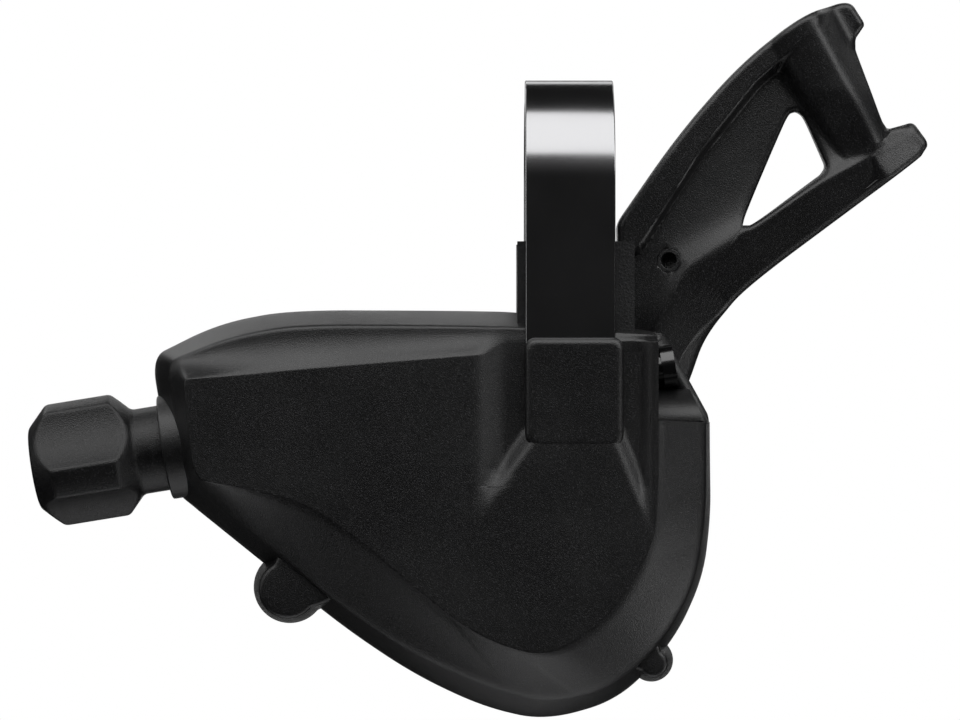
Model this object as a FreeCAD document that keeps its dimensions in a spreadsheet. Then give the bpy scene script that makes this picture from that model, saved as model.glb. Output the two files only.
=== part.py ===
import FreeCAD, Part
import math
import os
import re
import Sketcher

# A left-hand bicycle gear shifter: a moulded body hung under a handlebar clamp, with a cable
# adjuster at its inboard end and one long thumb lever on the far side.
# Frame: origin on the handlebar axis in the middle of the clamp band, +X along the bar to the
# outboard side, +Y through the body from its cover to its back, +Z up from the body to the bar.

Vector = FreeCAD.Vector
Rotation = FreeCAD.Rotation
Placement = FreeCAD.Placement

# Driving dimensions in millimetres and degrees: alias, value, meaning
SIZES = [
    ("bar_diameter", 22.2, "handlebar that the clamp closes on"),
    ("band_thickness", 3.0, "clamp band wall"),
    ("band_width", 12.2, "clamp band along the bar"),
    ("band_front_leg", 35.0, "front leg of the band below the bar axis"),
    ("band_rear_leg", 25.0, "rear leg of the band below the bar axis"),
    ("clamp_gap", 2.5, "gap that the clamp bolt closes"),
    ("clamp_bolt_drop", 19.5, "clamp bolt below the bar axis"),
    ("clamp_bolt_diameter", 5.0, "clamp bolt thread"),
    ("clamp_head_diameter", 8.5, "clamp bolt head"),
    ("clamp_head_height", 4.0, "clamp bolt head"),
    ("clamp_socket", 4.0, "hexagon socket across flats"),
    ("head_chamfer", 0.4, "rim of the screw heads"),
    ("bolt_gap", 0.25, "clamp bolt in its holes"),
    ("washer_thickness", 0.8, "plain washers"),
    ("washer_gap", 0.15, "washers round their bolts"),
    ("washer_edge", 0.4, "clamp washer beyond the bolt head"),
    ("clamp_nut_side", 8.0, "square nut across flats"),
    ("clamp_nut_height", 4.0, "square nut"),
    ("nut_gap", 0.1, "square nut in its pocket"),
    ("clamp_bolt_end", 2.0, "clamp bolt beyond its nut"),
    ("bracket_left", 7.2, "bracket cheek inboard of the band middle"),
    ("bracket_right", 8.8, "bracket cheek outboard of the band middle"),
    ("saddle_drop", 8.5, "top of the bracket cheeks below the bar axis"),
    ("bracket_drop", 24.5, "underside of the bracket block below the bar axis"),
    ("tongue_drop", 33.0, "end of the bracket tongue below the bar axis"),
    ("tongue_half_width", 6.0, "bracket tongue"),
    ("tongue_thickness", 5.4, "bracket tongue"),
    ("plateau_y", -15.5, "front face of the cover"),
    ("rim_y", -10.0, "front rim of the cover"),
    ("parting_y", -3.0, "joint between cover and case"),
    ("back_y", 9.5, "back face of the case"),
    ("cover_wall", 1.6, "cover wall"),
    ("case_wall", 2.0, "case side wall"),
    ("case_floor", 2.5, "case back wall"),
    ("case_draft", 1.5, "inset of the case back"),
    ("case_edge", 1.6, "bevel round the case back"),
    ("cove_depth", 1.5, "hollow of the cover's upper bevel below a flat one"),
    ("bump_height", 0.8, "cover bump in front of the band leg"),
    ("bump_wall", 0.9, "cover bump beside the band leg"),
    ("bump_drop", 21.7, "top of the bump below the bar axis"),
    ("bump_corner", 1.6, "lower corners of the bump"),
    ("bump_round", 0.5, "front edges of the bump"),
    ("valley_depth", 2.2, "hollows beside the bump"),
    ("valley_lift", 1.0, "hollows drawn out of the cover's face"),
    ("valley_top", 26.0, "top of the hollows above the axle"),
    ("valley_length", 19.6, "hollows along the bump"),
    ("valley_width", 4.3, "hollows at the face"),
    ("valley_slant", 7.0, "lower end of the hollows, outer corner below the inner"),
    ("valley_floor", 1.2, "hollows at their floor"),
    ("valley_foot", 3.0, "slope at the lower end of the hollows"),
    ("notch_x", 11.9, "inboard edge of the port notch"),
    ("notch_z", -33.0, "lower edge of the port notch"),
    ("notch_y", 0.0, "floor of the port notch"),
    ("ramp_height", 9.2, "ramp at the lower edge of the port notch"),
    ("ramp_width", 3.4, "ramp at the lower edge of the port notch"),
    ("ramp_top", 0.8, "crest of the ramp"),
    ("near_ear_x", -38.6, "inboard screw ear"),
    ("near_ear_z", -56.1, "inboard screw ear"),
    ("near_ear_radius", 5.0, "inboard screw ear"),
    ("far_ear_x", 11.4, "outboard screw ear"),
    ("far_ear_z", -66.2, "outboard screw ear"),
    ("far_ear_radius", 3.0, "outboard screw ear"),
    ("ear_draft", 0.85, "taper of the ears on the cover"),
    ("ear_front_y", -6.0, "front of the ears"),
    ("ear_back_y", 4.0, "back of the ears"),
    ("ear_screw_diameter", 2.5, "cover screw thread"),
    ("small_head_diameter", 4.6, "small screw heads"),
    ("small_head_height", 1.5, "small screw heads"),
    ("small_socket", 2.0, "hexagon socket of the small screws"),
    ("axle_x", 0.5, "main axle along the bar"),
    ("axle_z", -44.5, "main axle below the bar"),
    ("axle_front_diameter", 5.0, "axle in the support plate"),
    ("axle_drum_diameter", 6.0, "axle in the drum bush"),
    ("axle_key_diameter", 8.0, "keyed seats of the axle"),
    ("axle_key_flats", 6.4, "keyed seats across flats"),
    ("axle_journal_diameter", 9.0, "axle in the case bush"),
    ("axle_thread_diameter", 6.0, "axle end under the nut"),
    ("clip_thickness", 0.6, "axle clip"),
    ("clip_depth", 0.5, "groove of the axle clip"),
    ("clip_diameter", 8.4, "axle clip"),
    ("axle_tail", 0.6, "axle beyond its clip and its nut"),
    ("running_gap", 0.05, "radial gap of shafts and pins"),
    ("side_gap", 0.3, "gap between neighbours"),
    ("overcut", 1.0, "cutting tools beyond their work"),
    ("plate_thickness", 1.2, "support plate"),
    ("plate_edge", 3.2, "support plate round its posts"),
    ("plate_overlap", 8.0, "support plate behind the band's front leg"),
    ("post_diameter", 4.4, "plate posts"),
    ("near_post_x", -11.0, "plate post from the axle"),
    ("near_post_z", -9.5, "plate post from the axle"),
    ("far_post_x", 5.0, "plate post from the axle"),
    ("far_post_z", -13.0, "plate post from the axle"),
    ("plate_screw_diameter", 2.5, "plate screws"),
    ("plate_screw_length", 7.5, "plate screws under the head"),
    ("band_screw_drop", 31.0, "band screw below the bar axis"),
    ("band_screw_diameter", 3.0, "band screw"),
    ("band_screw_end", 1.2, "band screw beyond the support plate"),
    ("bracket_screw_offset", 4.0, "bracket screws from the middle"),
    ("bracket_screw_drop", 29.3, "bracket screws below the bar axis"),
    ("bracket_screw_grip", 4.3, "bracket screws in the tongue"),
    ("bush_wall", 1.5, "case bush"),
    ("bush_flange", 1.6, "case bush flange beyond its barrel"),
    ("bush_flange_thickness", 1.0, "case bush flange"),
    ("cable_y", -4.0, "plane of the cable"),
    ("cable_hole_diameter", 2.4, "cable way through the adjuster"),
    ("cable_diameter", 1.8, "cable groove of the drum"),
    ("drum_groove_radius", 16.6, "cable line from the axle"),
    ("drum_rim", 1.2, "drum rim beyond the cable line"),
    ("drum_rim_thickness", 5.6, "drum rim"),
    ("drum_rim_angle", 49.0, "arc of the drum rim"),
    ("drum_rim_start", 89.0, "outboard end of the drum rim, from +X"),
    ("drum_hub_diameter", 13.0, "drum hub"),
    ("drum_bush_wall", 1.15, "drum bush"),
    ("ratchet_radius", 7.2, "ratchet disc"),
    ("ratchet_thickness", 2.4, "ratchet disc and pawls"),
    ("ratchet_y", -0.8, "front of the ratchet disc"),
    ("lug_height", 2.3, "drive lug beyond the ratchet disc"),
    ("lug_start", 60.0, "drive lug, from +X"),
    ("lug_angle", 88.0, "arc of the drive lug"),
    ("notch_angle", 12.0, "latch notch of the ratchet disc"),
    ("notch_depth", 1.6, "latch notch of the ratchet disc"),
    ("stroke_angle", 30.0, "stroke of the lever"),
    ("drive_plate_y", 2.2, "front of the drive plate"),
    ("drive_plate_thickness", 1.6, "drive plate"),
    ("drive_plate_radius", 7.0, "drive plate"),
    ("drive_arm_flare", 1.5, "drive plate's arm wider at the axle"),
    ("pawl_arm_radius", 12.5, "drive pawl pin from the axle"),
    ("pawl_arm_angle", 190.0, "drive pawl pin, from +X"),
    ("pawl_pin_diameter", 3.0, "pawl pins"),
    ("pawl_boss_radius", 2.7, "pawls round their pins"),
    ("pawl_nose_width", 1.4, "pawl noses"),
    ("pawl_root_width", 4.9, "pawls at their bosses"),
    ("pawl_lead", 9.0, "drive pawl's nose behind the drive lug"),
    ("hold_pawl_x", -2.5, "holding pawl pin from the axle"),
    ("hold_pawl_z", -16.5, "holding pawl pin from the axle"),
    ("spring_wire", 0.8, "lever spring wire"),
    ("spring_radius", 6.2, "lever spring coil"),
    ("pawl_spring_wire", 0.45, "pawl spring wire"),
    ("coil_spacing", 1.15, "pitch of the coils in wire sizes"),
    ("pin_end", 1.0, "pawl pins beyond their springs"),
    ("lever_hub_radius", 10.5, "thumb lever hub"),
    ("lever_hub_thickness", 6.0, "thumb lever hub"),
    ("lever_front_y", 12.3, "front of the lever arm"),
    ("lever_thickness", 9.2, "lever arm"),
    ("hub_step", 1.0, "lever hub round the nut's recess"),
    ("lever_round", 0.9, "edges of the lever arm"),
    ("paddle_round", 1.2, "edges of the thumb paddle"),
    ("lever_recess", 3.2, "recess of the lever web, front and back"),
    ("paddle_width", 12.4, "thumb paddle through the lever"),
    ("lever_eye_diameter", 2.4, "small eye in the lever web"),
    ("lever_gap", 0.5, "lever hub behind the case bush"),
    ("nut_flats", 10.0, "axle nut across flats"),
    ("nut_height", 4.0, "axle nut"),
    ("nut_chamfer", 0.5, "corners of the axle nut"),
    ("lever_washer_diameter", 12.5, "washer under the axle nut"),
    ("adjuster_tilt", 9.2, "rise of the cable towards the lever"),
    ("boss_start", 44.0, "adjuster boss along the cable"),
    ("boss_end", 54.3, "adjuster boss along the cable"),
    ("boss_radius", 7.2, "adjuster boss"),
    ("cup_depth", 5.8, "cup in the adjuster boss"),
    ("neck_radius", 5.9, "neck of the adjuster knob"),
    ("neck_gap", 0.32, "neck in the cup"),
    ("neck_length", 8.0, "neck of the adjuster knob"),
    ("knob_radius", 8.5, "adjuster knob"),
    ("knob_chamfer", 2.5, "shoulder of the adjuster knob"),
    ("knob_length", 9.0, "lands of the adjuster knob"),
    ("knob_nose", 2.9, "outer end of the adjuster knob"),
    ("knob_nose_radius", 5.5, "outer end of the adjuster knob"),
    ("flute_floor", 6.6, "flutes of the knob from its axis"),
    ("flute_radius", 14.4, "flutes of the knob"),
    ("flute_phase", 27.0, "first flute above the front"),
    ("housing_radius", 2.6, "socket for the outer cable"),
    ("housing_depth", 8.0, "socket for the outer cable"),
    ("socket_wall", 0.6, "wall under that socket"),
    ("screw_radius", 3.0, "adjuster screw"),
    ("screw_length", 21.5, "adjuster screw"),
    ("ring_thickness", 1.1, "detent ring"),
    ("ring_gap", 0.2, "detent ring off the floor of its cup"),
    ("plug_head_radius", 2.9, "cable port plug"),
    ("plug_head", 1.8, "cable port plug"),
    ("plug_shank_radius", 2.0, "cable port plug"),
    ("plug_tail", 1.0, "plug shank inside the cover"),
    ("plug_gap", 0.5, "plug head off the slanting wall"),
]

doc = FreeCAD.newDocument("gear_shifter")
sheet = doc.addObject("Spreadsheet::Sheet", "Sheet")
for row, (alias, number, meaning) in enumerate(SIZES, start=1):
    sheet.set("A%d" % row, alias)
    sheet.set("B%d" % row, str(number))
    sheet.set("C%d" % row, meaning)
    sheet.setAlias("B%d" % row, alias)
doc.recompute()

WORDS = re.compile(r"\b(%s)\b" % "|".join(name for name, number, meaning in SIZES))
nodes = []


def size(alias):
    """One driving dimension, read from the sheet."""
    return float(sheet.get(alias))


def bind(thing, sizes):
    """Tie properties to expressions written with the sheet's aliases."""
    for prop, text in sizes.items():
        thing.setExpression(prop, WORDS.sub(r"Sheet.\1", text))


def place(thing, x="0", y="0", z="0"):
    """Tie a placement's base to expressions."""
    bind(thing, {"Placement.Base.x": x, "Placement.Base.y": y, "Placement.Base.z": z})


def node(thing, label):
    """Name a finished sub-part."""
    thing.Label = label
    nodes.append(thing)
    return thing


# Part primitives tied to the sheet

ALONG_Y = Rotation(Vector(1, 0, 0), -90)
ALONG_X = Rotation(Vector(0, 1, 0), 90)


def rod(radius, start, length, x="axle_x", z="axle_z", turn=ALONG_Y):
    """A cylinder along +Y from start, at x and z."""
    thing = doc.addObject("Part::Cylinder", "rod")
    thing.Placement = Placement(Vector(), turn)
    bind(thing, {"Radius": radius, "Height": length})
    place(thing, x, start, z)
    return thing


def block(x, y, z):
    """A box between pairs of expressions on the three axes."""
    thing = doc.addObject("Part::Box", "block")
    names = (("Length", x), ("Width", y), ("Height", z))
    bind(thing, {name: "(%s) - (%s)" % (high, low) for name, (low, high) in names})
    place(thing, x[0], y[0], z[0])
    return thing


def fused(things):
    """Several objects as one."""
    joined = doc.addObject("Part::MultiFuse", "joined")
    joined.Shapes = things
    joined.Refine = True
    return joined


def cut(base, tools):
    """An object less one or more others."""
    result = doc.addObject("Part::Cut", "cut")
    result.Base = base
    result.Tool = fused(tools) if len(tools) > 1 else tools[0]
    return result


def grouped(things):
    """Separate solids that share one node."""
    group = doc.addObject("Part::Compound", "group")
    group.Links = things
    return group


# PartDesign bodies tied to the sheet

def plane(body, role):
    """A body's own origin plane."""
    return next(item for item in body.Origin.OriginFeatures if item.Role == role)


def sketch_on(body, role):
    """An empty sketch on one of the body's origin planes."""
    sketch = body.newObject("Sketcher::SketchObject", "sketch")
    sketch.AttachmentSupport = [(plane(body, role), "")]
    sketch.MapMode = "FlatFace"
    return sketch


def tie(sketch, kind, item, corner, text):
    """A signed distance from the sketch's origin, tied to an expression."""
    index = sketch.addConstraint(Sketcher.Constraint(kind, -1, 1, item, corner, 1.0))
    bind(sketch, {"Constraints[%d]" % index: text})


def polygon(sketch, corners):
    """A closed outline whose corners are pairs of expressions."""
    count = len(corners)
    first = sketch.GeometryCount
    for index in range(count):
        start = Vector(math.cos(index), math.sin(index), 0)
        end = Vector(math.cos(index + 1), math.sin(index + 1), 0)
        sketch.addGeometry(Part.LineSegment(start, end))
    for index in range(count):
        after = first + (index + 1) % count
        sketch.addConstraint(Sketcher.Constraint("Coincident", first + index, 2, after, 1))
    for index, (across, along) in enumerate(corners):
        tie(sketch, "DistanceX", first + index, 1, across)
        tie(sketch, "DistanceY", first + index, 1, along)


def turned(profile, axis="V_Axis"):
    """A body turned from a profile: (radius, y) pairs about Y, or (x, radius) pairs about X."""
    body = doc.addObject("PartDesign::Body", "turned")
    sketch = sketch_on(body, "XY_Plane")
    polygon(sketch, profile)
    doc.recompute()
    turn = body.newObject("PartDesign::Revolution", "turn")
    turn.Profile = sketch
    turn.ReferenceAxis = (sketch, [axis])
    turn.Angle = 360
    doc.recompute()
    return body


def circle_in(sketch, radius, x="0", y="0"):
    """A circle whose size and middle are expressions."""
    index = sketch.addGeometry(Part.Circle(Vector(1, 1, 0), Vector(0, 0, 1), 1.0))
    tie(sketch, "DistanceX", index, 3, x)
    tie(sketch, "DistanceY", index, 3, y)
    ring = sketch.addConstraint(Sketcher.Constraint("Radius", index, 1.0))
    bind(sketch, {"Constraints[%d]" % ring: radius})


def hexagon_in(sketch, flats):
    """A hexagon across flats about the sketch's origin."""
    corners = []
    for step in range(6):
        angle = 60 * step
        tip = "%s / sqrt(3)" % flats
        corners.append(("%s * cos(%d)" % (tip, angle), "%s * sin(%d)" % (tip, angle)))
    polygon(sketch, corners)


def pocket(body, sketch, depth, backwards=False):
    """A pocket from a sketch into the body."""
    doc.recompute()
    hollow = body.newObject("PartDesign::Pocket", "hollow")
    hollow.Profile = sketch
    hollow.Reversed = backwards
    bind(hollow, {"Length": depth})
    doc.recompute()
    return hollow


# Depth of a hexagon socket as a share of its head
SOCKET_DEPTH = 0.6


def screw(head_diameter, head_height, thread, length, socket):
    """A socket screw along Y: its head ends at the origin, its thread runs towards -Y."""
    body = turned([("0", "-(%s)" % length), ("%s / 2" % thread, "-(%s)" % length),
                   ("%s / 2" % thread, "0"), ("%s / 2" % head_diameter, "0"),
                   ("%s / 2" % head_diameter, "%s - head_chamfer" % head_height),
                   ("%s / 2 - head_chamfer" % head_diameter, head_height), ("0", head_height)])
    recess = sketch_on(body, "XZ_Plane")
    bind(recess, {"AttachmentOffset.Base.z": "-(%s)" % head_height})
    hexagon_in(recess, socket)
    pocket(body, recess, "%s * %s" % (head_height, SOCKET_DEPTH), backwards=True)
    return body


# Plain outlines in the XZ plane, for the moulded pieces

# An edge that spans less than this lies in a plane
FLAT = 1e-6


def unit(start, end):
    """The direction from one point to another."""
    across, up = end[0] - start[0], end[1] - start[1]
    reach = math.hypot(across, up)
    return across / reach, up / reach


def inset(outline, distance):
    """The outline, run anticlockwise, moved inwards by a distance."""
    points = [point for edge in outline for point in edge[:-1]]
    moved = []
    for index, point in enumerate(points):
        before = unit(points[index - 1], point)
        after = unit(point, points[(index + 1) % len(points)])
        normal = (-before[1] - after[1], before[0] + after[0])
        reach = math.hypot(*normal)
        normal = (normal[0] / reach, normal[1] / reach)
        share = max(0.5, normal[1] * before[0] - normal[0] * before[1])
        moved.append((point[0] + normal[0] * distance / share, point[1] + normal[1] * distance / share))
    shifted = []
    first = 0
    for edge in outline:
        last = first + len(edge) - 1
        shifted.append([moved[index % len(moved)] for index in range(first, last + 1)])
        first = last
    return shifted


def wire(outline, level):
    """A closed wire at a Y level: an edge of two points is straight, a longer one is a curve."""
    edges = []
    for edge in outline:
        points = [Vector(x, level, z) for x, z in edge]
        if len(points) == 2:
            edges.append(Part.LineSegment(*points).toShape())
        else:
            curve = Part.BSplineCurve()
            curve.interpolate(points)
            edges.append(curve.toShape())
    return Part.Wire(edges)


def loft(sections):
    """A ruled solid through outlines, each with its Y level."""
    return Part.makeLoft([wire(outline, level) for outline, level in sections], True, True)


def prism(outline, start, end):
    """An outline carried along Y."""
    return Part.Face(wire(outline, start)).extrude(Vector(0, end - start, 0))


def eased(solid, radius):
    """A solid with the edges of its front and back faces rounded."""
    return solid.makeFillet(radius, [edge for edge in solid.Edges if edge.BoundBox.YLength < FLAT])


def disc(radius, start, end, x, z):
    """A round bar along Y."""
    return Part.makeCylinder(radius, end - start, Vector(x, start, z), Vector(0, 1, 0))


def straight(points):
    """An outline of straight edges through points."""
    return [[point, points[(index + 1) % len(points)]] for index, point in enumerate(points)]


def slab(x, y, z):
    """A box between pairs of numbers on the three axes."""
    corner = Vector(x[0], y[0], z[0])
    return Part.makeBox(x[1] - x[0], y[1] - y[0], z[1] - z[0], corner)


def moulded(shape, label):
    """A sub-part whose shape is worked out here."""
    thing = doc.addObject("Part::Feature", label)
    thing.Shape = shape.removeSplitter()
    thing.Placement = Placement()
    return node(thing, label)


# Positions that several pieces share

AXLE = (size("axle_x"), size("axle_z"))
TILT = math.radians(size("adjuster_tilt"))
CABLE_WAY = Vector(-math.cos(TILT), 0, -math.sin(TILT))
CABLE_START = Vector(AXLE[0] - size("drum_groove_radius") * math.sin(TILT), size("cable_y"),
                     AXLE[1] + size("drum_groove_radius") * math.cos(TILT))
BAR_RADIUS = size("bar_diameter") / 2
LEG_FRONT = -BAR_RADIUS - size("band_thickness")
FLOOR_Y = size("back_y") - size("case_floor")
GAP = size("side_gap")


def on_cable(distance):
    """A point on the cable line, measured from the drum towards the adjuster."""
    return CABLE_START + CABLE_WAY * distance


def cable_rod(radius, start, end):
    """A round bar along the cable line."""
    return Part.makeCylinder(radius, end - start, on_cable(start), CABLE_WAY)


# Outlines of the body: joint line, front rim and front face, run anticlockwise from the top right
JOINT_LINE = [
    [(19.4, -20.7), (-6.6, -18.0)],
    [(-6.6, -18.0), (-38.6, -17.8)],
    [(-38.6, -17.8), (-48.5, -19.7), (-57.2, -24.7)],
    [(-57.2, -24.7), (-54.5, -42.7)],
    [(-54.5, -42.7), (-31.6, -61.2)],
    [(-31.6, -61.2), (-21.7, -67.8), (-12.0, -72.4), (-3.3, -74.2)],
    [(-3.3, -74.2), (6.9, -71.2), (14.5, -62.9), (18.3, -54.6), (19.6, -46.0)],
    [(19.6, -46.0), (19.4, -20.7)],
]
RIM_LINE = [
    [(18.6, -21.3), (-6.0, -20.8)],
    [(-6.0, -20.8), (-37.5, -19.9)],
    [(-37.5, -19.9), (-45.1, -21.3), (-54.4, -24.9)],
    [(-54.4, -24.9), (-52.9, -42.1)],
    [(-52.9, -42.1), (-33.0, -58.5)],
    [(-33.0, -58.5), (-23.2, -65.0), (-12.3, -69.8), (-3.4, -71.2)],
    [(-3.4, -71.2), (5.5, -69.0), (12.2, -63.6), (16.8, -56.0), (18.4, -46.0)],
    [(18.4, -46.0), (18.6, -21.3)],
]
FACE_LINE = [
    [(11.9, -22.0), (-6.0, -23.4)],
    [(-6.0, -23.4), (-36.7, -26.0)],
    [(-36.7, -26.0), (-45.0, -26.8), (-52.0, -27.4)],
    [(-52.0, -27.4), (-50.8, -38.8)],
    [(-50.8, -38.8), (-43.5, -42.6), (-36.7, -45.0), (-30.6, -49.1)],
    [(-30.6, -49.1), (-23.1, -55.9), (-13.5, -62.2), (-4.2, -64.7)],
    [(-4.2, -64.7), (2.6, -61.3), (7.3, -55.9), (10.4, -51.0), (11.9, -46.0)],
    [(11.9, -46.0), (11.9, -22.0)],
]
# The case leaves the notch side on a slope from its top edge
CASE_LINE = [
    [(12.9, -21.0), (-6.6, -18.0)],
] + JOINT_LINE[1:7] + [
    [(19.6, -46.0), (19.4, -32.6)],
    [(19.4, -32.6), (17.0, -28.2), (12.9, -21.0)],
]
# The cover's upper bevel is a cove along these edges, worked out at these shares of its depth
COVE_EDGES = range(3)
COVE_STEPS = (0.2, 0.45, 0.75)
FAR = 90.0


def spread(edge, count):
    """A straight edge with as many points as a curved one, evenly spaced."""
    if len(edge) == count:
        return edge
    (first_x, first_z), (last_x, last_z) = edge
    shares = [index / (count - 1) for index in range(count)]
    return [(first_x + (last_x - first_x) * share, first_z + (last_z - first_z) * share) for share in shares]


def between(first, second, share, top_share):
    """An outline part of the way from one to another, by another share along the cove's edges."""
    result = []
    for index, (start, end) in enumerate(zip(first, second)):
        edge = []
        for number, (near, far) in enumerate(zip(spread(start, len(end)), end)):
            corner = (index == 0 and number == 0) or (index == COVE_EDGES[-1] and number == len(end) - 1)
            part = top_share if index in COVE_EDGES and not corner else share
            edge.append((near[0] + (far[0] - near[0]) * part, near[1] + (far[1] - near[1]) * part))
        result.append(edge)
    return result


def notch(grow):
    """The space beside the cover that gives access to the cable port, grown by a wall."""
    return (size("notch_x") - grow, FAR), (size("notch_z") - grow, FAR)


def bracket_way():
    """The opening in the top of the body that the clamp bracket passes through."""
    return slab((-size("bracket_left") - GAP, size("bracket_right") + GAP),
                (-BAR_RADIUS, BAR_RADIUS - size("clamp_gap") + GAP),
                (-size("bracket_drop") - GAP, 0))


def ears():
    """Middle and radius of each screw ear."""
    for name in ("near_ear", "far_ear"):
        yield size(name + "_x"), size(name + "_z"), size(name + "_radius")


def posts():
    """Middle of each post."""
    for name in ("near_post", "far_post"):
        yield AXLE[0] + size(name + "_x"), AXLE[1] + size(name + "_z")


def hollow_beside(side, bump_edge):
    """A sloping hollow in the cover beside the bump, on the inboard (-1) or outboard (1) side."""
    face, depth, lift = size("plateau_y"), size("valley_depth"), size("valley_lift")
    top = size("axle_z") + size("valley_top")
    low = top - size("valley_length")
    mouth = bump_edge + side * (size("valley_width") + lift)
    floor = bump_edge + side * size("valley_floor")
    foot = low + size("valley_foot")
    heel = low - lift
    outer = [(bump_edge, top), (mouth, top), (mouth, heel - size("valley_slant")), (bump_edge, heel)]
    inner = [(bump_edge, top), (floor, top), (floor, foot - size("valley_floor")), (bump_edge, foot)]
    return loft([(straight(outer), face - lift), (straight(inner), face + depth)])


def bevel(rim_line, rim, face_line, face):
    """Sections of the cover from its rim to its face, with the cove along the top."""
    sections = [(rim_line, rim)]
    for share in COVE_STEPS:
        lean = size("cove_depth") * 4 * share * (1 - share) / (rim - face)
        sections.append((between(rim_line, face_line, share, share + lean), rim + (face - rim) * share))
    return sections + [(face_line, face)]


def top_cover():
    """The moulded cover: a flared wall, a wide bevel, a flat face and a bump over the band leg."""
    wall, face, rim, joint = size("cover_wall"), size("plateau_y"), size("rim_y"), size("parting_y")
    side = size("band_width") / 2 + size("bump_wall")
    bump_top = -size("bump_drop")
    bump_low = -size("band_front_leg") - wall
    shell = loft([(JOINT_LINE, joint)] + bevel(RIM_LINE, rim, FACE_LINE, face))
    shell = shell.cut(hollow_beside(-1, -side)).cut(hollow_beside(1, side))
    bump_front = min(face, LEG_FRONT - GAP - wall) - size("bump_height") + wall / 2
    bump = slab((-side, side), (bump_front, rim), (bump_low, bump_top))
    low_edges = [edge for edge in bump.Edges if edge.BoundBox.ZMax - bump_low < FLAT]
    corners = [edge for edge in low_edges if edge.BoundBox.XLength < FLAT]
    bump = bump.makeFillet(size("bump_corner"), corners)
    front_edges = [edge for edge in bump.Edges if edge.BoundBox.YMax - bump_front < FLAT]
    shell = shell.fuse(bump.makeFillet(size("bump_round"), front_edges))
    for x, z, radius in ears():
        tip = radius - size("ear_draft")
        shell = shell.fuse(Part.makeCone(radius, tip, joint - size("ear_front_y"),
                                         Vector(x, joint, z), Vector(0, -1, 0)))
    open_x, open_z = notch(0.0)
    shell = shell.cut(slab(open_x, (-FAR, joint), open_z))
    wall_x, wall_z = notch(wall)
    inside = loft([(inset(JOINT_LINE, wall), joint + GAP)]
                  + bevel(inset(RIM_LINE, wall), rim + wall / 2, inset(FACE_LINE, wall), face + wall))
    inside = inside.cut(hollow_beside(-1, -side + wall).translated(Vector(0, wall, 0)))
    inside = inside.cut(hollow_beside(1, side - wall).translated(Vector(0, wall, 0)))
    inside = inside.cut(slab(wall_x, (-FAR, FAR), wall_z))
    shell = shell.cut(inside)
    leg_half = size("band_width") / 2 + GAP
    shell = shell.cut(slab((-leg_half, leg_half), (LEG_FRONT - GAP, joint + GAP),
                           (-size("band_front_leg") - GAP, 0)))
    shell = shell.cut(bracket_way())
    shell = shell.cut(cable_rod(size("boss_radius") + GAP, size("boss_start") - GAP, FAR))
    shell = shell.cut(cable_rod(size("plug_shank_radius") + size("running_gap"), -FAR / 2, 0))
    for x, z, radius in ears():
        shell = shell.fuse(disc(size("ear_screw_diameter") / 2 + wall / 2, size("ear_front_y") + wall,
                                joint, x, z).common(disc(radius, -FAR, FAR, x, z)))
        shell = shell.cut(disc(size("ear_screw_diameter") / 2 + size("running_gap"),
                               size("ear_front_y") + wall / 2, FAR, x, z))
    return shell


def notch_ramp():
    """The ramp of the case that meets the cover at the lower edge of the notch."""
    left, low = size("notch_x") + GAP, size("notch_z") + GAP
    floor = size("notch_y") + size("case_wall") / 2
    crest = size("notch_y") - size("ramp_height")
    corners = [(floor, low), (crest, low), (crest, low + size("ramp_top")), (floor, low + size("ramp_width"))]
    face = Part.Face(Part.makePolygon([Vector(left, y, z) for y, z in corners + corners[:1]]))
    return face.extrude(Vector(FAR, 0, 0)).common(prism(inset(CASE_LINE, size("case_draft") / 2), -FAR, FAR))


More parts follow.
